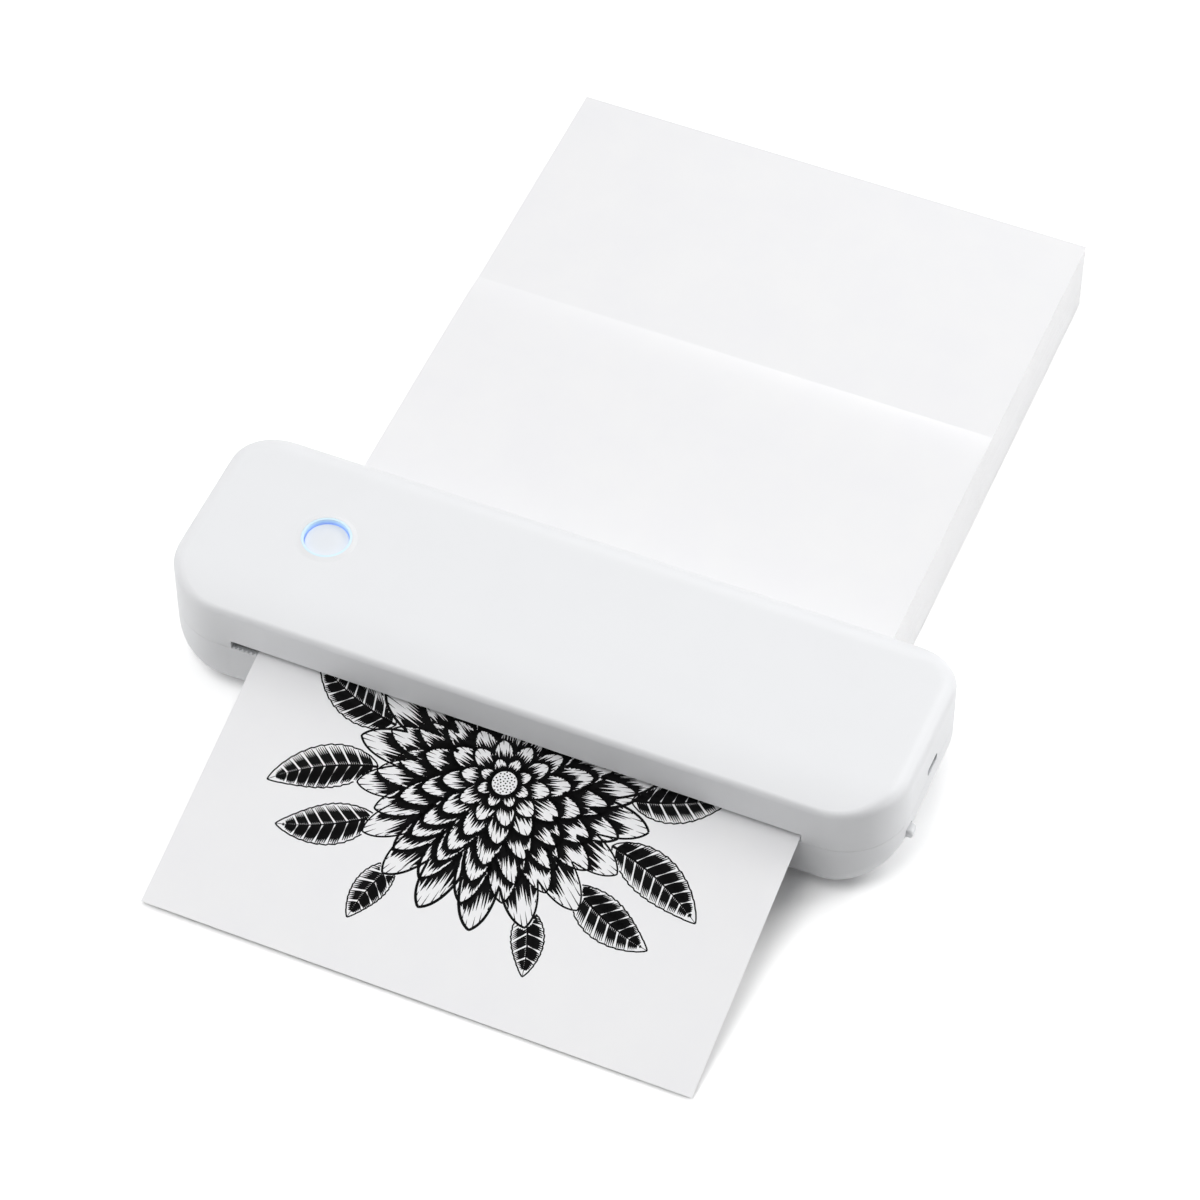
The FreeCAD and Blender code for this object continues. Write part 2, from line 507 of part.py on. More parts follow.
# Cover release: push button with a hook arm
stop = X_IN - 1.2
cap = box(stop - 0.2, X_END + RELEASE_PROUD, RELEASE_Y - RELEASE_WIDTH / 2, RELEASE_Y + RELEASE_WIDTH / 2,
          RELEASE_Z - RELEASE_TALL / 2, RELEASE_Z + RELEASE_TALL / 2)
cap = cap.makeFillet(1.2, [e for e in cap.Edges if e.BoundBox.XMin > X_END or e.BoundBox.XLength > 1])
flange = box(stop - 2.2, stop, RELEASE_Y - RELEASE_WIDTH / 2 - 1.5, RELEASE_Y + RELEASE_WIDTH / 2 + 1.5,
             RELEASE_Z - RELEASE_TALL / 2 - 1.5, RELEASE_Z + RELEASE_TALL / 2 + 1.5)
hook = X_END - 17.0
stem = box(hook, stop - 2, RELEASE_Y - 2, RELEASE_Y + 2, RELEASE_Z - 2, RELEASE_Z + 2)
arm = box(hook, hook + 2.5, RELEASE_Y - 2, RELEASE_Y + 2, RELEASE_Z - 2, HOOK_Z + 1.6)
nose = box(hook + 2, hook + 4, RELEASE_Y - 2, RELEASE_Y + 2, HOOK_Z, HOOK_Z + 1.6)
NODES["release_button"] = joined([cap, flange, stem, arm, nose])

# Hinge pins
reach = POST_WIDTH / 2 + CLEARANCE + KNUCKLE_WIDTH
pin = rod_x(POST_X - reach, POST_X + reach, HINGE_Y, HINGE_Z, HINGE_PIN_RADIUS)
NODES["hinge_pins"] = Part.makeCompound([pin, mirrored(pin)])

# Paper: fan-fold stack behind the printer and the sheet that runs through it
NODES["paper_stack"] = box(PAPER_LEFT, PAPER_RIGHT, STACK_FRONT, STACK_BACK, 0, STACK_HEIGHT)
ON_STACK = STACK_HEIGHT + PAPER_THICKNESS / 2 + 0.02
PATH = [(Y_FRONT - SHEET_REACH, 0.9), (Y_FRONT - 1.0, COVER_BOTTOM + 1.25),
        (PLATEN_Y - 14.0, NIP_HEIGHT), (PLATEN_Y + 14.0, NIP_HEIGHT),
        (Y_REAR + 1.0, INLET_SILL + 1.5), (Y_REAR + 1.0 + STACK_LENGTH * LIFT_SHARE, ON_STACK),
        (STACK_BACK, ON_STACK)]
NODES["paper_web"] = strip_x(PATH, [60, 60, 80, 120, 60], PAPER_THICKNESS, PAPER_LEFT, PAPER_RIGHT)

# Cover: shell with ring hole, socket hole, slot and inlet, knuckles, ribs, bosses and catch
board_left = -0.5 * SLOT_HALF
board_right = 0.885 * SLOT_HALF
MAIN_BOARD_HOLES = [(x, LINER_Y + dy) for x in (board_left + 6, board_right - 6) for dy in (7.5, 20)]
BUTTON_BOARD_HOLES = [(BUTTON_X + sx * 13.5, sy * 8.0) for sx in (-1, 1) for sy in (-1, 1)]
USB_BOARD_HOLES = [(X_IN - 17, SOCKET_Y - 13), (X_IN - 17, SOCKET_Y + 12)]
SPRING_Y = PLATEN_Y
RING_RADIUS = BUTTON_RADIUS + 0.2 + RING_WIDTH

SUPPORTS = [(x, LINER_Y, REAR_LINER + LINER_THICKNESS, 2.5) for x in LINER_X]
SUPPORTS += [(x, FRONT_LINER_Y, FRONT_LINER + LINER_THICKNESS, 2.5) for x in FRONT_LINER_X]
SUPPORTS += [(x, y, MAIN_BOARD + BOARD_THICKNESS, 2.2) for x, y in MAIN_BOARD_HOLES]
SUPPORTS += [(x, y, BUTTON_BOARD + BOARD_THICKNESS, 2.2) for x, y in BUTTON_BOARD_HOLES]
SUPPORTS += [(x, y, USB_BOARD + BOARD_THICKNESS, 2.2) for x, y in USB_BOARD_HOLES]

cover = SHELL.common(box(-FAR, FAR, -FAR, FAR, COVER_BOTTOM, FAR))
cover = cover.cut(box(-SLOT_HALF, SLOT_HALF, -FAR, Y_FRONT + WALL + 4, 0, SLOT_TOP))
cover = cover.cut(box(-INLET_HALF, INLET_HALF, Y_IN - 6, FAR, 0, INLET_TOP))
notch = box(POST_X - POST_WIDTH / 2 - CLEARANCE, POST_X + POST_WIDTH / 2 + CLEARANCE,
            HINGE_Y - KNUCKLE_RADIUS - 1, FAR, INLET_SILL - 5, HINGE_Z + KNUCKLE_RADIUS + 0.4)
cover = cover.cut(notch).cut(mirrored(notch))
cover = cover.cut(rod_z(BUTTON_X, 0, CEILING - 1, FAR, RING_RADIUS))
extras = []
for x0 in (POST_X - reach, POST_X + POST_WIDTH / 2 + CLEARANCE):
    knuckle = rod_x(x0, x0 + KNUCKLE_WIDTH, HINGE_Y, HINGE_Z, KNUCKLE_RADIUS)
    knuckle = knuckle.fuse(box(x0, x0 + KNUCKLE_WIDTH, HINGE_Y - KNUCKLE_RADIUS, HINGE_Y + KNUCKLE_RADIUS,
                               HINGE_Z, BODY_HEIGHT))
    knuckle = knuckle.common(OUTER)
    extras += [knuckle, mirrored(knuckle)]
rib_x = HEAD_HALF + 3.0
rib = box(rib_x, rib_x + 3.0, HEAD_PIVOT_Y - 4, HEAD_PIVOT_Y + 4, HEAD_PIVOT_Z - 3.5, CEILING + 0.5)
rib = rib.cut(rod_x(0, FAR, HEAD_PIVOT_Y, HEAD_PIVOT_Z, HEAD_PIN_RADIUS + RUNNING_FIT))
extras += [rib, mirrored(rib)]
for x, y, z, radius in SUPPORTS:
    extras.append(rod_z(x, y, z, CEILING + 0.5, radius).cut(rod_z(x, y, z - 1, z + SCREW_GRIP, SCREW_RADIUS)))
for x in SPRING_X:
    extras.append(rod_z(x, SPRING_Y, SPRING_SEAT, CEILING + 0.5, 3.0))
extras.append(box(hook + 4 + CLEARANCE, X_IN + 0.6, RELEASE_Y - 3, RELEASE_Y + 3,
                  COVER_BOTTOM + CLEARANCE, HOOK_Z - CLEARANCE))
crest = Part.BezierCurve()
crest.setPoles([V(RING_RADIUS + COLLAR_WIDTH, 0, BODY_HEIGHT - 0.08), V(RING_RADIUS + 1.3, 0, BODY_HEIGHT + 0.02),
                V(RING_RADIUS + 0.9, 0, BODY_HEIGHT + RING_LIP), V(RING_RADIUS, 0, BODY_HEIGHT + RING_LIP)])
foot = [V(RING_RADIUS, 0, BODY_HEIGHT + RING_LIP), V(RING_RADIUS, 0, BODY_HEIGHT - 0.8),
        V(RING_RADIUS + COLLAR_WIDTH, 0, BODY_HEIGHT - 0.8), V(RING_RADIUS + COLLAR_WIDTH, 0, BODY_HEIGHT - 0.08)]
collar = Part.Face(Part.Wire([crest.toShape(), Part.makePolygon(foot)])).revolve(V(0, 0, 0), V(0, 0, 1), 360)
collar.translate(V(BUTTON_X, 0, 0))
extras.append(collar)
cover = joined([cover] + extras)
bore = rod_x(POST_X - reach - 0.5, POST_X + reach + 0.5, HINGE_Y, HINGE_Z, HINGE_PIN_RADIUS + RUNNING_FIT)
cover = cover.cut(bore).cut(mirrored(bore))
hole = box(X_IN - 1.5, FAR, SOCKET_Y - SOCKET_WIDTH / 2 - CLEARANCE, SOCKET_Y + SOCKET_WIDTH / 2 + CLEARANCE,
           SOCKET_Z - SOCKET_THICKNESS / 2 - CLEARANCE, SOCKET_Z + SOCKET_THICKNESS / 2 + CLEARANCE)
hole = hole.makeFillet(SOCKET_THICKNESS / 2, [e for e in hole.Edges if e.BoundBox.XLength > 1])
NODES["top_cover"] = cover.cut(hole)

# Light ring and power button
top = BODY_HEIGHT - BUTTON_RECESS
ring_low = top - 3.3
ring = rod_z(BUTTON_X, 0, ring_low, BODY_HEIGHT + RING_LIP, RING_RADIUS)
ring = ring.makeFillet(RING_LIP / 2, [e for e in ring.Edges if e.BoundBox.ZMin > BODY_HEIGHT])
ring = ring.fuse(rod_z(BUTTON_X, 0, ring_low, CEILING, RING_RADIUS + 1.7))
bore = rod_z(BUTTON_X, 0, ring_low - 1, FAR, BUTTON_RADIUS + 0.2)
NODES["light_ring"] = ring.cut(bore)
cap = rod_z(BUTTON_X, 0, ring_low - 0.4, top, BUTTON_RADIUS)
cap = cap.makeFillet(0.5, [e for e in cap.Edges if e.BoundBox.ZMin > top - 0.01])
flange = rod_z(BUTTON_X, 0, ring_low - 1.0, ring_low - 0.2, RING_RADIUS)
stem = rod_z(BUTTON_X, 0, ring_low - 2.0, ring_low - 0.8, 2.0)
NODES["power_button"] = joined([cap, flange, stem])

SWITCH_TOP = ring_low - 2.0 - BUTTON_TRAVEL - 0.1
board_top = BUTTON_BOARD + BOARD_THICKNESS
board = box(BUTTON_X - 17.5, BUTTON_X + 17.5, -12, 12, BUTTON_BOARD, board_top)
for x, y in BUTTON_BOARD_HOLES:
    board = board.cut(rod_z(x, y, 0, FAR, SCREW_RADIUS))
NODES["button_board"] = board
switch = box(BUTTON_X - 3, BUTTON_X + 3, -3, 3, board_top, SWITCH_TOP - 0.8)
NODES["button_switch"] = switch.fuse(rod_z(BUTTON_X, 0, board_top + 0.5, SWITCH_TOP, 1.6))
leds = []
for i in range(4):
    a = math.pi / 4 + i * math.pi / 2
    x = BUTTON_X + 7.6 * math.cos(a)
    y = 7.6 * math.sin(a)
    leds.append(box(x - 0.8, x + 0.8, y - 0.8, y + 0.8, board_top, board_top + 1.1))
NODES["status_leds"] = Part.makeCompound(leds)

# Main board and its parts
board = box(board_left, board_right, LINER_Y + 4.2, LINER_Y + 24, MAIN_BOARD, MAIN_BOARD + BOARD_THICKNESS)
for x, y in MAIN_BOARD_HOLES:
    board = board.cut(rod_z(x, y, 0, FAR, SCREW_RADIUS))
NODES["main_board"] = board
chips = []
for share, back, half_x, half_y, tall in ((-0.27, 14, 6, 6, 1.4), (-0.13, 17, 3, 3, 1.2), (0.11, 17, 3, 4, 1.2),
                                          (0.31, 15, 7, 7, 1.6), (0.54, 14, 5, 3, 1.4), (0.69, 16, 3, 5, 1.8)):
    x = SLOT_HALF * share
    y = LINER_Y + back
    chips.append(box(x - half_x, x + half_x, y - half_y, y + half_y, MAIN_BOARD - tall, MAIN_BOARD))
NODES["board_chips"] = Part.makeCompound(chips)

# Socket board and USB-C receptacle
board = box(X_IN - 20, X_IN - 1.5, SOCKET_Y - 16, SOCKET_Y + 16, USB_BOARD, USB_BOARD + BOARD_THICKNESS)
for x, y in USB_BOARD_HOLES:
    board = board.cut(rod_z(x, y, 0, FAR, SCREW_RADIUS))
NODES["usb_board"] = board


def socket_block(x0, x1, inset):
    half_y = SOCKET_WIDTH / 2 - inset
    half_z = SOCKET_THICKNESS / 2 - inset
    block = box(x0, x1, SOCKET_Y - half_y, SOCKET_Y + half_y, SOCKET_Z - half_z, SOCKET_Z + half_z)
    return block.makeFillet(half_z - 0.05, [e for e in block.Edges if e.BoundBox.XLength > 1])


mouth = X_END - 0.4
shell = socket_block(mouth - SOCKET_DEPTH, mouth, 0.0).cut(socket_block(mouth - SOCKET_DEPTH + 1, mouth + 3, 0.35))
tongue = box(mouth - SOCKET_DEPTH + 0.5, mouth - 0.7, SOCKET_Y - 3.3, SOCKET_Y + 3.3,
             SOCKET_Z - 0.35, SOCKET_Z + 0.35)
NODES["usb_socket"] = joined([shell, tongue])

# Liners that close the underside of the cover over the paper path
liner = box(-GUIDE_HALF + 0.5, GUIDE_HALF - 0.5, Y_FRONT + WALL + 0.4, HEAD_FRONT - 2.5,
            FRONT_LINER, FRONT_LINER + LINER_THICKNESS)
for x in FRONT_LINER_X:
    liner = liner.cut(rod_z(x, FRONT_LINER_Y, 0, FAR, SCREW_RADIUS))
NODES["front_liner"] = liner
liner = box(-GUIDE_HALF + 0.5, GUIDE_HALF - 0.5, LINER_Y - 2.5, Y_IN - 5.0, REAR_LINER, REAR_LINER + LINER_THICKNESS)
for x in LINER_X:
    liner = liner.cut(rod_z(x, LINER_Y, 0, FAR, SCREW_RADIUS))
NODES["rear_liner"] = liner


def hanging_screw(x, y, z):
    """A screw driven upwards: head under the face at z, shank into the boss above."""
    head = rod_z(x, y, z - 0.9, z, 1.9)
    head = head.cut(box(x - 1.2, x + 1.2, y - 0.25, y + 0.25, z - 1, z - 0.5))
    head = head.cut(box(x - 0.25, x + 0.25, y - 1.2, y + 1.2, z - 1, z - 0.5))
    return head.fuse(rod_z(x, y, z - 0.1, z + SCREW_GRIP, SCREW_RADIUS))


NODES["liner_screws"] = Part.makeCompound(
    [hanging_screw(x, LINER_Y, REAR_LINER) for x in LINER_X]
    + [hanging_screw(x, FRONT_LINER_Y, FRONT_LINER) for x in FRONT_LINER_X])
NODES["board_screws"] = Part.makeCompound(
    [hanging_screw(x, y, MAIN_BOARD) for x, y in MAIN_BOARD_HOLES]
    + [hanging_screw(x, y, BUTTON_BOARD) for x, y in BUTTON_BOARD_HOLES]
    + [hanging_screw(x, y, USB_BOARD) for x, y in USB_BOARD_HOLES])

# Print head: heat sink with fins, ceramic substrate, driver strip, pivot pins and leaf springs
half = HEAD_HALF
sink_low = NIP_HEIGHT + PAPER_THICKNESS / 2 + 0.2 + SUBSTRATE_THICKNESS
sink = box(-half, half, HEAD_FRONT, HEAD_REAR, sink_low, HEAD_TOP)
grooves = 3
for i in range(grooves):
    y = HEAD_FRONT + 2.6 + i * 3.0
    sink = sink.cut(box(-half - 1, half + 1, y, y + 1.5, sink_low + 2.4, HEAD_TOP + 1))
    y = HEAD_REAR - 2.6 - i * 3.0
    sink = sink.cut(box(-half - 1, half + 1, y - 1.5, y, sink_low + 2.4, HEAD_TOP + 1))
ear = box(half - 4, half, HEAD_REAR - 1, HEAD_PIVOT_Y + 3, HEAD_PIVOT_Z - 2.5, HEAD_TOP)
sink = joined([sink, ear, mirrored(ear)])
NODES["head_heatsink"] = sink.cut(rod_x(-FAR, FAR, HEAD_PIVOT_Y, HEAD_PIVOT_Z, HEAD_PIN_RADIUS))
low = sink_low - SUBSTRATE_THICKNESS
plate = box(-half + 2, half - 2, PLATEN_Y - 5.0, HEAD_REAR - 3, low, sink_low)
glaze = box(-half + 3, half - 3, PLATEN_Y - 0.6, PLATEN_Y + 0.6, low - 0.1, low + 0.1)
NODES["thermal_head"] = plate.fuse(glaze)
NODES["head_driver_strip"] = box(-half + 2, half - 2, HEAD_FRONT + 0.6, PLATEN_Y - 5.4, low + 0.1, sink_low)
pin = rod_x(half - 4, rib_x + 2.6, HEAD_PIVOT_Y, HEAD_PIVOT_Z, HEAD_PIN_RADIUS)
NODES["head_pins"] = Part.makeCompound([pin, mirrored(pin)])
springs = []
for x in SPRING_X:
    path = [(SPRING_Y - 8, HEAD_TOP + 0.2), (SPRING_Y - 5, HEAD_TOP + 0.2), (SPRING_Y, SPRING_SEAT - 0.1),
            (SPRING_Y + 5, HEAD_TOP + 0.2), (SPRING_Y + 8, HEAD_TOP + 0.2)]
    springs.append(strip_x(path, [1.2, 1.2, 1.2], 0.3, x - 3, x + 3))
NODES["head_springs"] = Part.makeCompound(springs)

# Flat flexible lead from the head to the main board
path = [(HEAD_REAR - 7, HEAD_TOP + 0.8), (HEAD_PIVOT_Y + 4, HEAD_TOP + 0.8), (LINER_Y, MAIN_BOARD - 0.35),
        (LINER_Y + 12, MAIN_BOARD - 0.35)]
NODES["head_flex"] = strip_x(path, [2.0, 2.0], 0.3, -3, 5)

for name, shape in NODES.items():
    shape.exportStep("parts/" + name + ".step")
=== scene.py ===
import bisect
import math
import random

import bmesh
import bpy
from mathutils import Matrix, Vector


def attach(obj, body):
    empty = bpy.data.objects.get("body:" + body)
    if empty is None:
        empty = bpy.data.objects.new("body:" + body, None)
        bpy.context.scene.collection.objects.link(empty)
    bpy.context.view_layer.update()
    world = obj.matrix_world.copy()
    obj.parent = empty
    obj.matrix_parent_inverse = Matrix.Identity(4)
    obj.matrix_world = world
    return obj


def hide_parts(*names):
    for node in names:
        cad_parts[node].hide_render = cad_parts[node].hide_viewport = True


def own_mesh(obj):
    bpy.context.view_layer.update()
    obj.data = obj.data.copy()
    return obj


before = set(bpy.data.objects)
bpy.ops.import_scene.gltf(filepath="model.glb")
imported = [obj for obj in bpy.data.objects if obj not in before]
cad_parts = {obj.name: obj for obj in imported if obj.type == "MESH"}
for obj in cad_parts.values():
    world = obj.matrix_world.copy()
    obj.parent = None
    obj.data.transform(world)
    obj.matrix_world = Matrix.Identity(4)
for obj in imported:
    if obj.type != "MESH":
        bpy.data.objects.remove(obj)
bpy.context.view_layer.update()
MM = 0.001

# Paper, in mm: the web's middle plane on its way through the printer, as (y, z) corners and bend radii
FOLD_Y = 153.5
INLET_Y = 44.0
STACK_FRONT = 50.0
STACK_REAR = 259.5
STACK_HEIGHT = 32.0
ON_STACK = STACK_HEIGHT + 0.12
WEB_ROUTE = [(-141.5, 0.9), (-44.0, 26.83), (-28.0, 28.6), (0.0, 28.6), (INLET_Y, 33.0), (FOLD_Y, ON_STACK),
             (STACK_REAR, ON_STACK)]
WEB_BENDS = [60.0, 60.0, 80.0, 120.0, 60.0]
WEB_LEFT = -100.0
WEB_RIGHT = 110.0
WEB_WIDTH = WEB_RIGHT - WEB_LEFT
WEB_THICKNESS = 0.2
ROUTE_STEP = 2.0
SHEET_COLUMNS = 30
SHEET_SHARP = math.radians(40)
# The slack of the sheet's free front edge, and the spring of the span that rises from the stack
CURL_LENGTH = 16.0
CURL_LEAST = 0.25
CURL_AT_LEFT = 0.55
SPAN_BOW = 1.5
SPAN_EASE = 0.105
# Leaves of the stack, and how far they lie in from the web's edges and from the stack's ends
LEAF_PITCH = 0.4
LEAF_FILL = 0.99
LEAF_DRIFT = 0.14
LEAF_INSET = 0.2
FOLD_INSET = 0.4
FOLD_POINTS = 9
# Finishes: the span of most noise values, the mottle's size in grains and how far the grain swings the gloss
NOISE_LOW = 0.3
NOISE_HIGH = 0.7
MOTTLE_PER_GRAIN = 40
GLOSS_SWING = 0.05


def srgb(code, alpha=1.0):
    """A hex colour as linear RGBA."""
    parts = [int(code[i:i + 2], 16) / 255 for i in (1, 3, 5)]
    linear = [c / 12.92 if c <= 0.04045 else ((c + 0.055) / 1.055) ** 2.4 for c in parts]
    return (*linear, alpha)


def add(tree, kind, settings=None, inputs=None):
    """Adds a node; settings are its own options, inputs are values or other nodes' outputs."""
    made = tree.nodes.new(kind)
    for name, value in (settings or {}).items():
        setattr(made, name, value)
    for key, value in (inputs or {}).items():
        if isinstance(value, bpy.types.NodeSocket):
            tree.links.new(value, made.inputs[key])
        else:
            made.inputs[key].default_value = value
    return made


def new_material(name):
    """An empty material with its output node; returns the material, its tree and the output."""
    material = bpy.data.materials.new(name)
    material.use_nodes = True
    material.node_tree.nodes.clear()
    output = add(material.node_tree, "ShaderNodeOutputMaterial")
    return material, material.node_tree, output


def mottle(tree, where, size_mm, low, high):
    """Two near tones in a soft cloud of that size, as a colour."""
    cloud = add(tree, "ShaderNodeTexNoise", None,
                {"Vector": where, "Scale": 1 / (size_mm * MM), "Detail": 3.0})
    tone = add(tree, "ShaderNodeValToRGB", None, {"Fac": cloud.outputs["Fac"]})
    dark, pale = tone.color_ramp.elements
    dark.position = NOISE_LOW
    dark.color = srgb(low)
    pale.position = NOISE_HIGH
    pale.color = srgb(high)
    return tone.outputs["Color"]


def grained(name, low, high, grain_mm, rough, bump_mm, strength=0.3, **fixed):
    """A moulded, cast or ground surface: two near tones in a mottle, and a grain that breaks its gloss."""
    material, tree, output = new_material(name)
    where = add(tree, "ShaderNodeTexCoord").outputs["Object"]
    tone = mottle(tree, where, grain_mm * MOTTLE_PER_GRAIN, low, high)
    fine = add(tree, "ShaderNodeTexNoise", None,
               {"Vector": where, "Scale": 1 / (grain_mm * MM), "Detail": 2.0})
    gloss = add(tree, "ShaderNodeMapRange", None,
                {"Value": fine.outputs["Fac"], "From Min": NOISE_LOW, "From Max": NOISE_HIGH,
                 "To Min": rough - GLOSS_SWING, "To Max": rough + GLOSS_SWING})
    bump = add(tree, "ShaderNodeBump", None,
               {"Height": fine.outputs["Fac"], "Distance": bump_mm * MM, "Strength": strength})
    surface = add(tree, "ShaderNodeBsdfPrincipled", None,
                  {"Base Color": tone, "Roughness": gloss.outputs["Result"],
                   "Normal": bump.outputs["Normal"], **fixed})
    tree.links.new(surface.outputs["BSDF"], output.inputs["Surface"])
    return material


# Camera: a long lens from the front right, above the sheet
SENSOR = 36.0
FOCAL_PIXELS = 4679.2
FRAME_PIXELS = 1200
CAMERA_DISTANCE = 1.7185
AZIMUTH = math.radians(22.99)
ELEVATION = math.radians(51.03)
camera_data = bpy.data.cameras.new("camera")
camera_data.sensor_width = SENSOR
camera_data.lens = FOCAL_PIXELS / FRAME_PIXELS * SENSOR
camera = bpy.data.objects.new("camera", camera_data)
bpy.context.scene.collection.objects.link(camera)
look_at = Vector((0.0, 37.5, 15.0)) * MM
away = Vector((math.sin(AZIMUTH) * math.cos(ELEVATION), -math.cos(AZIMUTH) * math.cos(ELEVATION),
               math.sin(ELEVATION)))
camera.location = look_at + away * CAMERA_DISTANCE
camera.rotation_euler = (-away).to_track_quat("-Z", "Y").to_euler()
bpy.context.scene.camera = camera
bpy.context.scene.view_settings.view_transform = "Standard"

# White ABS shells, spark-eroded mould: an even satin white; its 0.1 mm grit is drawn at 0.5 mm to show at all
SHELL_ABS = grained("white_abs_spark_finish", "#EAEBED", "#EBECEE", 0.5, 0.42, 0.02, 0.25, IOR=1.53)
# Natural ABS inside, straight off the mould: greyer and a little shinier than the shells
INNER_ABS = grained("natural_abs_moulded", "#C9CBCC", "#D3D5D6", 0.8, 0.42, 0.02, 0.2, IOR=1.53)
# Black glass-filled nylon: deep, slightly streaked, dull
BLACK_NYLON = grained("black_glass_filled_nylon", "#17181A", "#222326", 0.6, 0.55, 0.03, 0.35, IOR=1.53)
# Acetal gears: milky and waxy
ACETAL = grained("acetal_moulded", "#E4E1D6", "#EEEBE2", 0.7, 0.34, 0.01, 0.15, IOR=1.48,
                 **{"Subsurface Weight": 0.08, "Subsurface Scale": 0.002})
# Nitrile rubber: matt charcoal with ground streaks
RUBBER = grained("nitrile_rubber_ground", "#2A2B2D", "#37383A", 0.6, 0.78, 0.03, 0.4, IOR=1.52)
# Bright rolled steel: light grey metal, faint rolling haze
STEEL = grained("rolled_steel_zinc_plated", "#B4B7BA", "#C6C8CA", 0.4, 0.32, 0.005, 0.2, Metallic=1.0)
# Tinned steel strip of the tear bar: a dull pale grey that takes little shine
TINNED_STEEL = grained("tinned_steel_strip", "#BFC1C3", "#CFD1D3", 0.5, 0.55, 0.01, 0.3, Metallic=0.12)
# Drawn motor can: nickel-plated steel with a soft gloss
MOTOR_CAN = grained("nickel_plated_can", "#A9A8A3", "#BDBCB6", 0.6, 0.26, 0.004, 0.15, Metallic=1.0)
# Sintered bronze bushes and pinion: warm brown metal, open pores
BRONZE = grained("sintered_bronze", "#9A7446", "#B58A56", 0.35, 0.44, 0.012, 0.4, Metallic=1.0)
# Extruded aluminium heat sink: pale metal with a dull etched skin
ALUMINIUM = grained("extruded_aluminium_etched", "#B9BCBE", "#CACCCE", 0.5, 0.4, 0.008, 0.25, Metallic=1.0)
# Glazed alumina of the thermal head: warm white ceramic with a glassy top
ALUMINA = grained("glazed_alumina", "#D9D6CC", "#E6E3DA", 0.4, 0.16, 0.002, 0.1, IOR=1.6)
# Shrink sleeve round the cells: thin blue PVC, shiny
CELL_SLEEVE = grained("pvc_shrink_sleeve", "#2B6FA8", "#3179B5", 0.9, 0.24, 0.01, 0.15, IOR=1.53)
# Clear epoxy over the lamp chips: yellowish and glossy
LAMP_EPOXY = grained("phosphor_epoxy", "#E3CF6A", "#EEDC82", 0.5, 0.2, 0.004, 0.15, IOR=1.5)
# Polyimide film: amber and glossy, copper tracks beneath it
POLYIMIDE = grained("polyimide_film", "#A8681C", "#BC7B28", 0.9, 0.28, 0.01, 0.2, IOR=1.7)


def solder_mask():
    """Green solder mask on glass-epoxy board: copper tracks show through as paler bands, every 1.3 mm."""
    material, tree, output = new_material("green_solder_mask_on_glass_epoxy")
    place = add(tree, "ShaderNodeTexCoord")
    cells = add(tree, "ShaderNodeTexBrick", {"offset": 0.37, "squash": 1.0},
                {"Vector": place.outputs["Object"], "Scale": 1.0, "Color1": srgb("#0E5236"),
                 "Color2": srgb("#125C3D"), "Mortar": srgb("#2B7F57"),
                 "Mortar Size": 0.22 * MM, "Mortar Smooth": 0.1,
                 "Brick Width": 6.5 * MM, "Row Height": 1.3 * MM})
    bump = add(tree, "ShaderNodeBump", None,
               {"Height": cells.outputs["Fac"], "Distance": 0.03 * MM, "Strength": 0.4})
    surface = add(tree, "ShaderNodeBsdfPrincipled", None,
                  {"Base Color": cells.outputs["Color"], "Roughness": 0.3, "IOR": 1.55,
                   "Normal": bump.outputs["Normal"]})
    tree.links.new(surface.outputs["BSDF"], output.inputs["Surface"])
    return material


# Light ring, in mm: the heights between which its blue fades, down in the well and at the lip
RING_DEEP = 47.3
RING_LIP = 49.6


def lit_ring():
    """Opal polycarbonate lit from below: full blue deep in the well, washing out to pale cyan at the lip."""
    material, tree, output = new_material("opal_polycarbonate_lit_blue")
    place = add(tree, "ShaderNodeTexCoord")
    split = add(tree, "ShaderNodeSeparateXYZ", None, {"Vector": place.outputs["Object"]})
    height = add(tree, "ShaderNodeMapRange", None,
                 {"Value": split.outputs["Z"], "From Min": RING_DEEP * MM, "From Max": RING_LIP * MM})
    body = add(tree, "ShaderNodeValToRGB", None, {"Fac": height.outputs["Result"]})
    glow = add(tree, "ShaderNodeValToRGB", None, {"Fac": height.outputs["Result"]})
    for ramp, deep, middle, lip in ((body, "#9DBBEE", "#C2DDF6", "#D8ECF5"),
                                    (glow, "#83A1E6", "#86A9DC", "#5E737D")):
        ramp.color_ramp.elements[0].color = srgb(deep)
        ramp.color_ramp.elements[1].color = srgb(lip)
        ramp.color_ramp.elements.new(0.6).color = srgb(middle)
    surface = add(tree, "ShaderNodeBsdfPrincipled", None,
                  {"Base Color": body.outputs["Color"], "Roughness": 0.3, "IOR": 1.58,
                   "Emission Color": glow.outputs["Color"], "Emission Strength": 0.45})
    tree.links.new(surface.outputs["BSDF"], output.inputs["Surface"])
    return material


def thermal_paper(name, low, high):
    """Coated thermal paper: cool white, matt, with a 22 mm fibre cloud and 0.6 mm fibres."""
    material, tree, output = new_material(name)
    where = add(tree, "ShaderNodeTexCoord").outputs["Object"]
    tone = mottle(tree, where, 22.0, low, high)
    fibre = add(tree, "ShaderNodeTexNoise", None,
                {"Vector": where, "Scale": 1 / (0.6 * MM), "Detail": 2.0})
    bump = add(tree, "ShaderNodeBump", None,
               {"Height": fibre.outputs["Fac"], "Distance": 0.01 * MM, "Strength": 0.25})
    surface = add(tree, "ShaderNodeBsdfPrincipled", None,
                  {"Base Color": tone, "Roughness": 0.34, "IOR": 1.5,
                   "Normal": bump.outputs["Normal"]})
    tree.links.new(surface.outputs["BSDF"], output.inputs["Surface"])
    return material


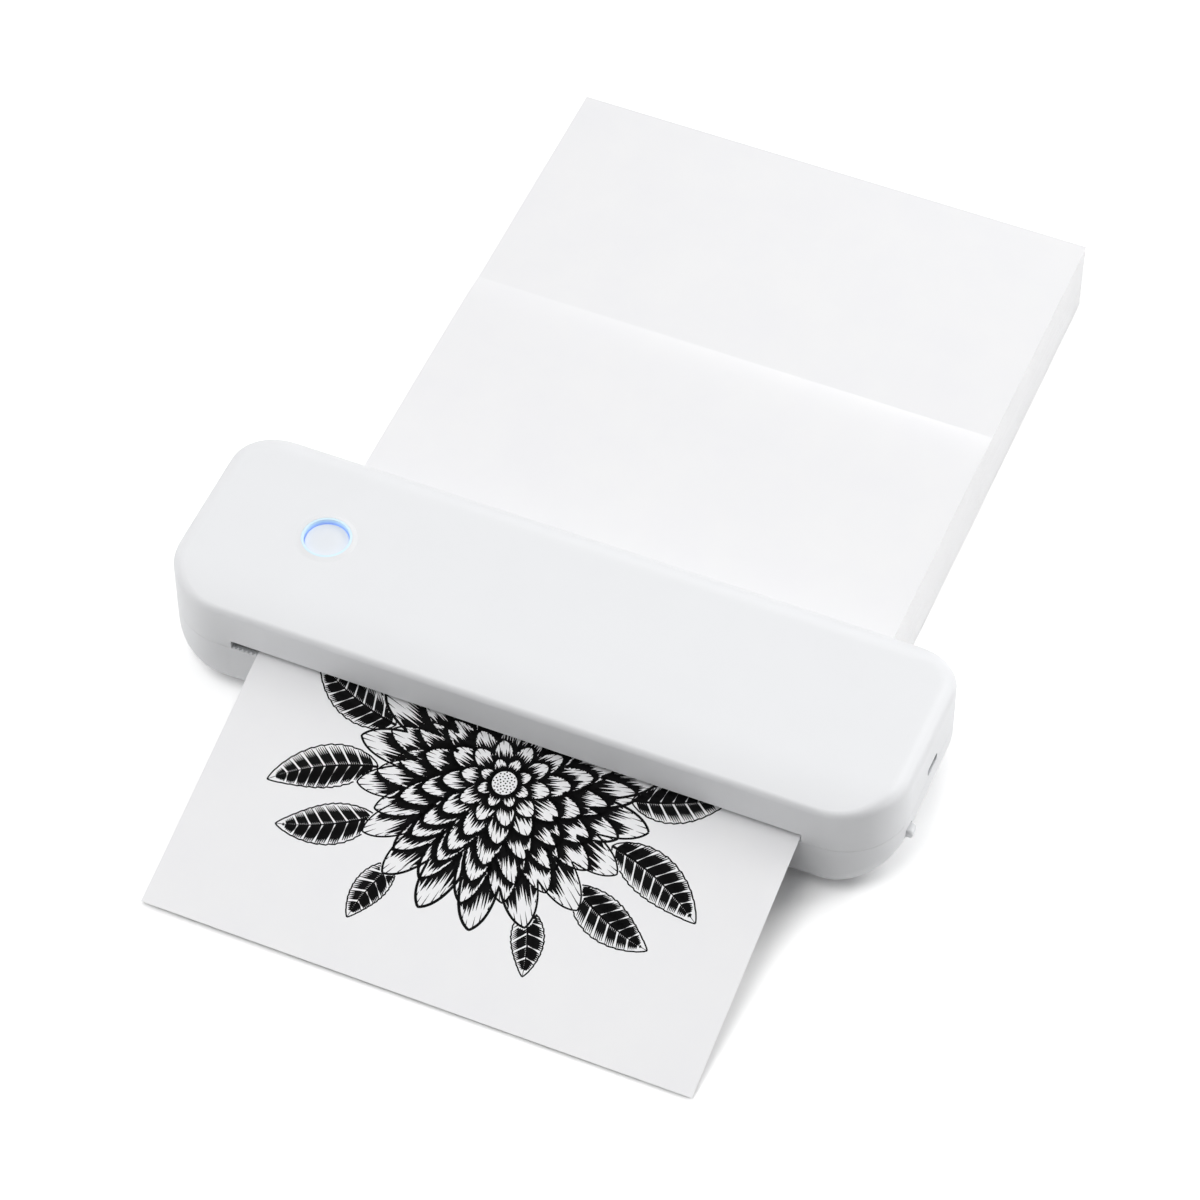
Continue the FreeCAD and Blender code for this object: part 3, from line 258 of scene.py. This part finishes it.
SOLDER_MASK = solder_mask()
LIT_RING = lit_ring()
PAPER = thermal_paper("coated_thermal_paper", "#EFEFF1", "#F1F1F2")
# Paper of the stack: a lighter copy of the thermal paper, painted light that stands in for the light on the
# stack's sides
PAINTED_LIGHT_PAPER = thermal_paper("thermal_paper_painted_light", "#F8F8F9", "#FAFAFB")
# Button cap: satin polycarbonate, a cool white with a little of the lamps behind it
CAP = grained("satin_polycarbonate_cap", "#DFE2E5", "#E5E7EA", 0.5, 0.36, 0.01, 0.15, IOR=1.58,
              **{"Emission Color": srgb("#E9EDF3"), "Emission Strength": 0.05})
# Thermal print: the coating turned black, a shade off true black and slightly mottled
INK = grained("heat_blackened_coating", "#070708", "#0D0D0E", 0.5, 0.7, 0.005, 0.15,
              **{"Specular IOR Level": 0.06})

FINISHES = {
    "top_cover": SHELL_ABS, "base_shell": SHELL_ABS, "release_button": SHELL_ABS,
    "front_paper_guide": INNER_ABS, "rear_paper_guide": INNER_ABS, "front_liner": INNER_ABS,
    "rear_liner": INNER_ABS, "width_guide": INNER_ABS,
    "paper_sensor": BLACK_NYLON, "battery_holder": BLACK_NYLON, "button_switch": BLACK_NYLON,
    "board_chips": BLACK_NYLON, "head_driver_strip": BLACK_NYLON,
    "platen_gear": ACETAL, "idler_gear": ACETAL,
    "rubber_feet": RUBBER, "platen_rubber": RUBBER,
    "base_screws": STEEL, "liner_screws": STEEL, "board_screws": STEEL, "gear_plate": STEEL,
    "bearing_bracket": STEEL, "idler_post": STEEL, "hinge_pins": STEEL, "head_pins": STEEL,
    "head_springs": STEEL, "platen_shaft": STEEL, "usb_socket": STEEL,
    "tear_bar": TINNED_STEEL, "drive_motor": MOTOR_CAN, "platen_bushes": BRONZE, "motor_pinion": BRONZE,
    "head_heatsink": ALUMINIUM, "thermal_head": ALUMINA, "battery_cells": CELL_SLEEVE,
    "status_leds": LAMP_EPOXY, "head_flex": POLYIMIDE,
    "main_board": SOLDER_MASK, "button_board": SOLDER_MASK, "usb_board": SOLDER_MASK,
    "light_ring": LIT_RING, "power_button": CAP, "paper_web": PAPER, "paper_stack": PAPER,
}
for name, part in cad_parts.items():
    for place in part.material_slots:
        place.material = FINISHES[name]


def route_points(corners, radii, step):
    """Points on straight runs and tangent arcs, a step apart, as (distance, y, z, tangent y, tangent z)."""
    line = []
    at = Vector(corners[0])
    for i in range(1, len(corners)):
        corner = Vector(corners[i])
        into = (corner - at).normalized()
        if i == len(corners) - 1:
            line.append(("run", at, corner))
            break
        out = (Vector(corners[i + 1]) - corner).normalized()
        turn = math.atan2(into.x * out.y - into.y * out.x, into.dot(out))
        cut = radii[i - 1] * math.tan(abs(turn) / 2)
        first = corner - into * cut
        line.append(("run", at, first))
        line.append(("arc", first, into, turn, radii[i - 1]))
        at = corner + out * cut
    points = []
    far = 0.0
    for piece in line:
        if piece[0] == "run":
            size = (piece[2] - piece[1]).length
            along = (piece[2] - piece[1]).normalized()
            count = max(1, round(size / step))
            for k in range(count):
                here = piece[1] + along * (size * k / count)
                points.append((far + size * k / count, here.x, here.y, along.x, along.y))
        else:
            _, first, into, turn, radius = piece
            size = abs(turn) * radius
            side = 1 if turn > 0 else -1
            centre = first + Vector((-into.y, into.x)) * radius * side
            count = max(3, round(size / step))
            for k in range(count):
                angle = turn * k / count
                arm = Matrix.Rotation(angle, 2) @ (first - centre)
                along = Matrix.Rotation(angle, 2) @ into
                here = centre + arm
                points.append((far + size * k / count, here.x, here.y, along.x, along.y))
        far += size
    last = Vector(corners[-1])
    along = (last - Vector(corners[-2])).normalized()
    points.append((far, last.x, last.y, along.x, along.y))
    return points


ROUTE = route_points(WEB_ROUTE, WEB_BENDS, ROUTE_STEP)
ROUTE_FAR = [row[0] for row in ROUTE]


def on_web(x, s, lift):
    """The point at x and distance s from the sheet's front edge, lift mm over the middle plane, in metres."""
    before = min(max(bisect.bisect_right(ROUTE_FAR, s) - 1, 0), len(ROUTE) - 2)
    a = ROUTE[before]
    b = ROUTE[before + 1]
    t = (s - a[0]) / (b[0] - a[0])
    y, z, ty, tz = [a[k] + (b[k] - a[k]) * t for k in (1, 2, 3, 4)]
    size = math.hypot(ty, tz)
    # a slack curl: the free front edge rises a little, more at its left corner
    free = math.exp(-s / CURL_LENGTH)
    z += free * (CURL_LEAST + CURL_AT_LEFT * ((WEB_RIGHT - x) / WEB_WIDTH) ** 2)
    # the span between the stack and the inlet springs up at the fold and eases off towards the printer
    span = min(max((FOLD_Y - y) / (FOLD_Y - INLET_Y), 0.0), 1.0)
    z += SPAN_BOW * (1 - math.exp(-span / SPAN_EASE)) * (1 - span)
    return Vector((x, y - tz / size * lift, z + ty / size * lift)) * MM


def mesh_piece(name, points, faces, material, smooth=True):
    """A new object with one material, its points in metres."""
    mesh = bpy.data.meshes.new(name)
    mesh.from_pydata(points, [], faces)
    mesh.polygons.foreach_set("use_smooth", [smooth] * len(mesh.polygons))
    mesh.materials.append(material)
    mesh.update()
    piece = bpy.data.objects.new(name, mesh)
    bpy.context.scene.collection.objects.link(piece)
    return piece


def printed_sheet():
    """The web of paper: two faces a sheet's thickness apart and the cut edges between them."""
    across = SHEET_COLUMNS
    rows = len(ROUTE)
    points = []
    for lift in (WEB_THICKNESS / 2, -WEB_THICKNESS / 2):
        for row in ROUTE:
            for i in range(across + 1):
                points.append(on_web(WEB_LEFT + WEB_WIDTH * i / across, row[0], lift))
    wide = across + 1
    under = rows * wide
    faces = []
    for j in range(rows - 1):
        for i in range(across):
            a = j * wide + i
            faces.append((a, a + 1, a + wide + 1, a + wide))
            faces.append((under + a, under + a + wide, under + a + wide + 1, under + a + 1))
        a = j * wide
        b = a + across
        faces.append((a, a + wide, under + a + wide, under + a))
        faces.append((b, under + b, under + b + wide, b + wide))
    for i in range(across):
        a = i
        b = (rows - 1) * wide + i
        faces.append((a, under + a, under + a + 1, a + 1))
        faces.append((b, b + 1, under + b + 1, under + b))
    sheet = mesh_piece("printed_sheet", points, faces, PAPER)
    sheet.data.set_sharp_from_angle(angle=SHEET_SHARP)
    return sheet


def fan_fold_tree():
    """One leaf with its fold, repeated up the stack and turned end for end each time."""
    tree = bpy.data.node_groups.new("fan_fold_leaves", "GeometryNodeTree")
    tree.interface.new_socket("Geometry", in_out="OUTPUT", socket_type="NodeSocketGeometry")
    for name, kind in (("Leaves", "Int"), ("Pitch", "Float"), ("Thickness", "Float"), ("Width", "Float"),
                       ("Length", "Float"), ("Drift", "Float"), ("Seed", "Int"), ("Finish", "Material")):
        tree.interface.new_socket(name, in_out="INPUT", socket_type="NodeSocket" + kind)
    given = add(tree, "NodeGroupInput").outputs
    result = add(tree, "NodeGroupOutput")
    bend = add(tree, "ShaderNodeMath", {"operation": "MULTIPLY"}, {0: given["Pitch"], 1: 0.5}).outputs[0]
    half = add(tree, "ShaderNodeMath", {"operation": "MULTIPLY"}, {0: given["Length"], 1: 0.5}).outputs[0]
    reach = add(tree, "ShaderNodeMath", {"operation": "SUBTRACT"}, {0: half, 1: bend}).outputs[0]
    index = add(tree, "GeometryNodeInputIndex").outputs[0]
    turn = add(tree, "ShaderNodeMapRange", {"clamp": True},
               {"Value": index, "From Min": 1.0, "From Max": FOLD_POINTS - 1.0, "To Min": 0.0,
                "To Max": math.pi}).outputs[0]
    sine = add(tree, "ShaderNodeMath", {"operation": "SINE"}, {0: turn}).outputs[0]
    cosine = add(tree, "ShaderNodeMath", {"operation": "COSINE"}, {0: turn}).outputs[0]
    loop = add(tree, "ShaderNodeMath", {"operation": "MULTIPLY_ADD"},
               {0: sine, 1: bend, 2: reach}).outputs[0]
    is_start = add(tree, "ShaderNodeMath", {"operation": "LESS_THAN"}, {0: index, 1: 0.5}).outputs[0]
    back = add(tree, "ShaderNodeMath", {"operation": "MULTIPLY"}, {0: is_start, 1: reach}).outputs[0]
    back = add(tree, "ShaderNodeMath", {"operation": "MULTIPLY"}, {0: back, 1: 2.0}).outputs[0]
    along = add(tree, "ShaderNodeMath", {"operation": "SUBTRACT"}, {0: loop, 1: back}).outputs[0]
    drop = add(tree, "ShaderNodeMath", {"operation": "MULTIPLY"}, {0: cosine, 1: bend}).outputs[0]
    rise = add(tree, "ShaderNodeMath", {"operation": "SUBTRACT"}, {0: bend, 1: drop}).outputs[0]
    where = add(tree, "ShaderNodeCombineXYZ", None, {"X": 0.0, "Y": along, "Z": rise}).outputs[0]
    line = add(tree, "GeometryNodeMeshLine", None, {"Count": FOLD_POINTS}).outputs[0]
    bent = add(tree, "GeometryNodeSetPosition", None, {"Geometry": line, "Position": where}).outputs[0]
    route = add(tree, "GeometryNodeMeshToCurve", None, {"Mesh": bent}).outputs[0]
    section = add(tree, "GeometryNodeCurvePrimitiveQuadrilateral", {"mode": "RECTANGLE"},
                  {"Width": given["Width"], "Height": given["Thickness"]}).outputs[0]
    leaf = add(tree, "GeometryNodeCurveToMesh", None,
               {"Curve": route, "Profile Curve": section, "Fill Caps": True}).outputs[0]
    climb = add(tree, "ShaderNodeCombineXYZ", None, {"Z": given["Pitch"]}).outputs[0]
    places = add(tree, "GeometryNodeMeshLine", None, {"Count": given["Leaves"], "Offset": climb}).outputs[0]
    most = add(tree, "ShaderNodeCombineXYZ", None, {"X": given["Drift"], "Y": given["Drift"]}).outputs[0]
    least = add(tree, "ShaderNodeVectorMath", {"operation": "SCALE"}, {0: most, "Scale": -1.0}).outputs[0]
    drift = add(tree, "FunctionNodeRandomValue", {"data_type": "FLOAT_VECTOR"},
                {"Min": least, "Max": most, "Seed": given["Seed"]}).outputs[0]
    loose = add(tree, "GeometryNodeSetPosition", None, {"Geometry": places, "Offset": drift}).outputs[0]
    odd = add(tree, "ShaderNodeMath", {"operation": "MODULO"}, {0: index, 1: 2.0}).outputs[0]
    half_turn = add(tree, "ShaderNodeMath", {"operation": "MULTIPLY"}, {0: odd, 1: math.pi}).outputs[0]
    facing = add(tree, "ShaderNodeCombineXYZ", None, {"Z": half_turn}).outputs[0]
    leaves = add(tree, "GeometryNodeInstanceOnPoints", None,
                 {"Points": loose, "Instance": leaf, "Rotation": facing}).outputs[0]
    real = add(tree, "GeometryNodeRealizeInstances", None, {"Geometry": leaves}).outputs[0]
    done = add(tree, "GeometryNodeSetMaterial", None,
               {"Geometry": real, "Material": given["Finish"]}).outputs[0]
    tree.links.new(done, result.inputs[0])
    return tree


def bake(name, tree, values):
    """Runs a node tree once and keeps what it makes as a plain mesh."""
    maker = bpy.data.objects.new(name + "_maker", bpy.data.meshes.new(name + "_maker"))
    bpy.context.scene.collection.objects.link(maker)
    modifier = maker.modifiers.new("nodes", "NODES")
    modifier.node_group = tree
    for socket in tree.interface.items_tree:
        if socket.in_out == "INPUT":
            modifier[socket.identifier] = values[socket.name]
    graph = bpy.context.evaluated_depsgraph_get()
    mesh = bpy.data.meshes.new_from_object(maker.evaluated_get(graph), depsgraph=graph)
    bpy.data.objects.remove(maker)
    mesh.name = name
    piece = bpy.data.objects.new(name, mesh)
    bpy.context.scene.collection.objects.link(piece)
    return piece


def fan_fold_stack():
    """The unprinted paper: real leaves are 0.1 mm, drawn 0.4 mm thick so that their edges show."""
    # The leaves take the lighter copy of the paper, whose extra brightness is painted light on the stack's
    # sides
    stack = bake("fan_fold_stack", fan_fold_tree(),
                 {"Leaves": round(STACK_HEIGHT / LEAF_PITCH) - 1, "Pitch": LEAF_PITCH * MM,
                  "Thickness": LEAF_FILL * LEAF_PITCH * MM, "Width": (WEB_WIDTH - 2 * LEAF_INSET) * MM,
                  "Length": (STACK_REAR - STACK_FRONT - 2 * FOLD_INSET) * MM, "Drift": LEAF_DRIFT * MM,
                  "Seed": 4, "Finish": PAINTED_LIGHT_PAPER})
    middle = Vector(((WEB_LEFT + WEB_RIGHT) / 2, (STACK_FRONT + STACK_REAR) / 2, LEAF_PITCH / 2))
    stack.data.transform(Matrix.Translation(middle * MM))
    return stack


# Print, in mm: a many-petalled bloom between dark leaves, in tapered strokes, still coming out of the slot;
# each ring of petals has a reach, a count and how deep the gaps between its petals go
BLOOM_X = 4.0
BLOOM_S = 86.0
BLOOM_EYE = 4.6
RINGS = [(55.0, 18, 0.30), (46.5, 18, 0.30), (38.5, 16, 0.30), (31.0, 14, 0.30), (23.5, 12, 0.30),
         (16.5, 10, 0.32), (10.0, 8, 0.34)]
OUTER_RINGS = 4
PRINT_START = 3.0
PRINT_END = 124.0
INK_LIFT = WEB_THICKNESS / 2 + 0.02
THINNEST_STROKE = 0.03
OUTLINE_WIDTH = 0.85
OUTLINE_SWELL = 0.25
STEPS_PER_PETAL = 40
VALLEY_WIDTHS = [2.3, 2.0, 1.75, 1.5, 1.2, 0.95, 0.7]
# Hatching of a petal, for the outer and the inner rings: strokes in each petal and their width at the root
HATCHES = [15, 9]
ROOT_WIDTHS = [1.45, 1.1]
HATCH_SPREAD = 0.9
HATCH_LENGTH = 0.46
HATCH_LONGER = 0.42
HATCH_LEAN = 0.16
SHORTEST_PETAL = 1.2
SHORTEST_VALLEY = 0.6
TIP_WIDTH = 0.42
SEEDS = 42
SEED_PITCH = 0.66
GOLDEN_ANGLE = 2.39996
SEED_WIDTHS = [0.2, 0.45, 0.55, 0.55, 0.45, 0.2]
# Leaves: angle round the bloom, where the leaf starts, its length, its half width and its bend
LEAVES = [(-2.93, 46.0, 40.0, 8.5, 0.25), (-2.52, 47.0, 36.0, 8.0, -0.2), (-0.2, 46.0, 42.0, 8.5, -0.22),
          (-0.62, 47.0, 36.0, 8.0, 0.22), (-2.1, 48.0, 26.0, 6.0, 0.2), (-1.02, 48.0, 26.0, 6.0, -0.2),
          (0.2, 46.0, 36.0, 8.0, 0.2), (2.98, 46.0, 38.0, 8.0, -0.2)]
LEAF_RIB = 0.9
LEAF_OUTLINE = 0.55
# Side strokes of a leaf: the width on its open and its dark half, how far they slant and how close they lie
SIDE_WIDTHS = {-1: 0.82, 1: 1.3}
SIDE_SLANT = 0.55
STROKES_PER_MM = 1.25
VEIN_EVERY = 6
dice = random.Random(11)
PETALS = []
for ring, (reach, count, _) in enumerate(RINGS):
    turn = 0.5 * (ring % 2) + 0.13 * ring
    petals = []
    for k in range(count):
        middle = 2 * math.pi * (k + turn) / count + dice.uniform(-0.02, 0.02)
        petals.append((middle, reach * dice.uniform(0.96, 1.04)))
    PETALS.append(petals)


def petal_reach(ring, angle):
    """How far ring reaches at that angle, in mm."""
    if ring >= len(RINGS):
        return BLOOM_EYE
    _, count, depth = RINGS[ring]
    best = 0.0
    for middle, size in PETALS[ring]:
        off = (angle - middle + math.pi) % (2 * math.pi) - math.pi
        share = abs(off) * count / (2 * math.pi) * 2
        if share < 1.35:
            best = max(best, size * (1 - depth * (0.5 * share ** 1.15 + 0.5 * share ** 2.6)))
    return best


def ink_stroke(store, line, widths, hidden=None):
    """Adds a tapered stroke: line has (x, s) points, widths its width at each, hidden says where it is cut."""
    run = []
    for place, width in zip(line, widths):
        shown = PRINT_START < place[1] < PRINT_END and not (hidden and hidden(place))
        if shown:
            run.append((place, width))
        if (not shown or place is line[-1]) and len(run) > 1:
            start = len(store["points"])
            for k, (here, wide) in enumerate(run):
                a = run[max(0, k - 1)][0]
                b = run[min(len(run) - 1, k + 1)][0]
                dx = b[0] - a[0]
                ds = b[1] - a[1]
                size = math.hypot(dx, ds) or 1.0
                half = max(wide, THINNEST_STROKE) / 2
                for side in (1, -1):
                    store["points"].append(on_web(here[0] - ds / size * half * side,
                                                  here[1] + dx / size * half * side, INK_LIFT))
            for k in range(len(run) - 1):
                a = start + 2 * k
                store["faces"].append((a, a + 1, a + 3, a + 2))
        if not shown:
            run = []


def polar(radius, angle):
    """The point of the sheet at that radius and angle round the bloom's middle, as (x, s)."""
    return (BLOOM_X + radius * math.cos(angle), BLOOM_S + radius * math.sin(angle))


def in_bloom(place):
    """Whether a point of the sheet lies behind the bloom's petals."""
    dx = place[0] - BLOOM_X
    ds = place[1] - BLOOM_S
    return math.hypot(dx, ds) < petal_reach(0, math.atan2(ds, dx)) + 0.5


def bloom_strokes(store):
    """Rings of pointed petals: an outline, the gaps between petals, and hatching, darkest at each root."""
    for ring in range(len(RINGS)):
        count = RINGS[ring][1]
        step = 2 * math.pi / count
        inner_ring = ring >= OUTER_RINGS
        hatches = HATCHES[inner_ring]
        turns = STEPS_PER_PETAL * count
        outline = []
        widths = []
        for k in range(turns + 1):
            angle = 2 * math.pi * k / turns
            outline.append(polar(petal_reach(ring, angle), angle))
            widths.append(OUTLINE_WIDTH + OUTLINE_SWELL * math.sin(angle * 3 + ring))
        ink_stroke(store, outline, widths)
        for middle, _ in PETALS[ring]:
            valley = middle + step / 2
            outer = petal_reach(ring, valley)
            inner = petal_reach(ring + 1, valley)
            if outer > inner + SHORTEST_VALLEY:
                line = [polar(inner + (outer - inner) * t / 6, valley) for t in range(7)]
                ink_stroke(store, line, VALLEY_WIDTHS)
            for h in range(hatches):
                share = -HATCH_SPREAD + 2 * HATCH_SPREAD * (h + dice.uniform(-0.3, 0.3)) / (hatches - 1)
                root = petal_reach(ring + 1, middle + share * step / 2)
                tip = petal_reach(ring, middle + share * step / 2)
                if tip - root < SHORTEST_PETAL:
                    continue
                long = (tip - root) * (HATCH_LENGTH + HATCH_LONGER * abs(share) + dice.uniform(-0.12, 0.2))
                line = []
                widths = []
                for t in range(9):
                    radius = root - 0.1 + long * t / 8
                    pull = 1 - HATCH_LEAN * t / 8
                    line.append(polar(radius, middle + share * step / 2 * pull))
                    widths.append(ROOT_WIDTHS[inner_ring] * (1 - t / 8) ** 0.8 + 0.04)
                ink_stroke(store, line, widths)
                if h % 2 == 0:
                    line = []
                    widths = []
                    back = (tip - root) * dice.uniform(0.2, 0.42)
                    for t in range(6):
                        radius = tip - 0.2 - back * t / 5
                        line.append(polar(radius, middle + share * step / 2 * (0.9 + 0.08 * t / 5)))
                        widths.append(TIP_WIDTH * (1 - t / 5) + THINNEST_STROKE)
                    ink_stroke(store, line, widths)
    for k in range(SEEDS):
        here = polar(SEED_PITCH * math.sqrt(k + 0.4), k * GOLDEN_ANGLE)
        line = [(here[0] - 0.3 + 0.12 * t, here[1]) for t in range(6)]
        ink_stroke(store, line, SEED_WIDTHS)


def leaf_strokes(store, angle, root, length, width, bend):
    """One dark leaf beside the bloom: side strokes leave pale veins, and one half is hatched more openly."""
    def spine(t):
        turn = angle + bend * t
        return (BLOOM_X + root * math.cos(angle) + length * t * math.cos(turn),
                BLOOM_S + root * math.sin(angle) + length * t * math.sin(turn))

    def half_width(t):
        return width * math.sin(math.pi * min(1.0, t ** 0.85)) ** 0.8

    rib = [spine(t / 24) for t in range(25)]
    ink_stroke(store, rib, [LEAF_RIB * (1 - t / 26) + 0.12 for t in range(25)], in_bloom)
    for side in (-1, 1):
        edge = []
        for k in range(49):
            t = k / 48
            here = spine(t)
            turn = angle + bend * (2 * t)
            out = half_width(t) * (1 - 0.05 * ((k % 4) / 3))
            edge.append((here[0] - math.sin(turn) * out * side, here[1] + math.cos(turn) * out * side))
        ink_stroke(store, edge, [LEAF_OUTLINE] * len(edge), in_bloom)
        strokes = int(length * STROKES_PER_MM)
        for k in range(strokes):
            t = 0.03 + 0.93 * k / strokes
            here = spine(t)
            turn = angle + bend * 2 * t
            out = half_width(min(1.0, t + 0.07)) * dice.uniform(0.86, 0.97)
            if k % VEIN_EVERY == 0:
                continue
            line = []
            widths = []
            for p in range(8):
                q = p / 7
                ahead = SIDE_SLANT * out * q
                line.append((here[0] + math.cos(turn) * ahead - math.sin(turn) * out * q * side,
                             here[1] + math.sin(turn) * ahead + math.cos(turn) * out * q * side))
                swell = 0.5 + 0.5 * math.sin(math.pi * min(1.0, q * 1.1))
                widths.append(SIDE_WIDTHS[side] * swell * (1 - 0.55 * q ** 3))
            ink_stroke(store, line, widths, in_bloom)


def flower_print():
    """The whole print as one thin layer of strokes on the sheet."""
    store = {"points": [], "faces": []}
    bloom_strokes(store)
    for leaf in LEAVES:
        leaf_strokes(store, *leaf)
    return mesh_piece("flower_print", store["points"], store["faces"], INK, False)


sheet = printed_sheet()
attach(sheet, "base")
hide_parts("paper_web")
ink = flower_print()
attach(ink, "base")
stack = fan_fold_stack()
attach(stack, "base")
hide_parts("paper_stack")

# Leaf springs over the print head, carried with it; the copy's loose triangles are joined first
MERGE_WITHIN = 0.001
SPRING_SHARP = math.radians(30)
cad_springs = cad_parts["head_springs"]
springs = bpy.data.objects.new("head_leaf_springs", cad_springs.data.copy())
springs.data.transform(cad_springs.matrix_world)
joined = bmesh.new()
joined.from_mesh(springs.data)
bmesh.ops.remove_doubles(joined, verts=joined.verts, dist=MERGE_WITHIN * MM)
joined.to_mesh(springs.data)
joined.free()
springs.data.attributes.remove(springs.data.attributes["custom_normal"])
springs.data.set_sharp_from_angle(angle=SPRING_SHARP)
springs.data.materials.clear()
springs.data.materials.append(STEEL)
bpy.context.scene.collection.objects.link(springs)
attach(springs, "print_head")
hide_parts("head_springs")
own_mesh(springs)


def looked_at(tree):
    """1 for what the camera sees, itself or through gloss or glass, and 0 for bounced light."""
    ray = add(tree, "ShaderNodeLightPath").outputs
    direct = add(tree, "ShaderNodeMath", {"operation": "MAXIMUM"},
                 {0: ray["Is Camera Ray"], 1: ray["Is Glossy Ray"]}).outputs[0]
    return add(tree, "ShaderNodeMath", {"operation": "MAXIMUM"},
               {0: direct, 1: ray["Is Transmission Ray"]}).outputs[0]


# Floor: brighter to the camera than to the bounced light, so that it is white where the light is full
FLOOR_HALF = 4.0
FLOOR_Z = -0.0002
FLOOR_LIFT = 1.4
floor_material, tree, output = new_material("white_paper_backdrop")
plain = add(tree, "ShaderNodeBsdfDiffuse", None, {"Color": srgb("#DFDFDF")})
bright = add(tree, "ShaderNodeBsdfDiffuse", None, {"Color": (FLOOR_LIFT, FLOOR_LIFT, FLOOR_LIFT, 1.0)})
mixed = add(tree, "ShaderNodeMixShader", None,
            {"Fac": looked_at(tree), 1: plain.outputs[0], 2: bright.outputs[0]})
tree.links.new(mixed.outputs[0], output.inputs["Surface"])
corners = [Vector((x * FLOOR_HALF, y * FLOOR_HALF, FLOOR_Z))
           for x, y in ((-1, -1), (1, -1), (1, 1), (-1, 1))]
floor = mesh_piece("floor", corners, [(0, 1, 2, 3)], floor_material, False)

# Light: a room that is pale to the left, and soft lamps behind, above, to both sides and over the viewer
PALE_LEFT = 0.47
world = bpy.data.worlds.new("studio")
bpy.context.scene.world = world
world.use_nodes = True
tree = world.node_tree
tree.nodes.clear()
heading = add(tree, "ShaderNodeTexCoord")
split = add(tree, "ShaderNodeSeparateXYZ", None, {"Vector": heading.outputs["Generated"]})
pale = add(tree, "ShaderNodeMapRange", {"interpolation_type": "SMOOTHSTEP"},
           {"Value": split.outputs["X"], "From Min": 0.0, "From Max": -1.0,
            "To Min": 0.0, "To Max": PALE_LEFT})
room = add(tree, "ShaderNodeBackground", None,
           {"Color": srgb("#FFFFFF"), "Strength": pale.outputs["Result"]})
white = add(tree, "ShaderNodeBackground", None, {"Color": srgb("#FFFFFF"), "Strength": 1.0})
mixed = add(tree, "ShaderNodeMixShader", None,
            {"Fac": looked_at(tree), 1: room.outputs[0], 2: white.outputs[0]})
add(tree, "ShaderNodeOutputWorld", None, {"Surface": mixed.outputs[0]})

# Lamps: place and size in metres, power in watts, all turned to the printer
LAMP_AIM = Vector((0.0, 0.05, 0.0))
LAMPS = [("rear_softbox", (1.1, 1.1, 1.4), 1.0, 15.4),
         ("top_softbox", (0.0, 0.4, 1.9), 1.4, 9.5),
         ("front_softbox", (-0.3, -0.7, 1.8), 1.0, 12.6),
         ("left_softbox", (-1.3, 0.1, 1.2), 0.9, 2.2),
         ("left_panel", (-0.8, -0.5, 0.3), 0.4, 1.2),
         ("right_panel", (1.55, 0.0, 0.2), 0.4, 2.9),
         ("rear_panel", (1.3, 0.9, 0.25), 0.4, 3.9),
         ("sheen_lamp", (-0.72, 3.58, 2.25), 0.7, 15.5)]
for name, place, size, power in LAMPS:
    data = bpy.data.lights.new(name, "AREA")
    data.shape = "SQUARE"
    data.size = size
    data.energy = power
    lamp = bpy.data.objects.new(name, data)
    lamp.location = place
    lamp.rotation_euler = (LAMP_AIM - Vector(place)).to_track_quat("-Z", "Y").to_euler()
    bpy.context.scene.collection.objects.link(lamp)
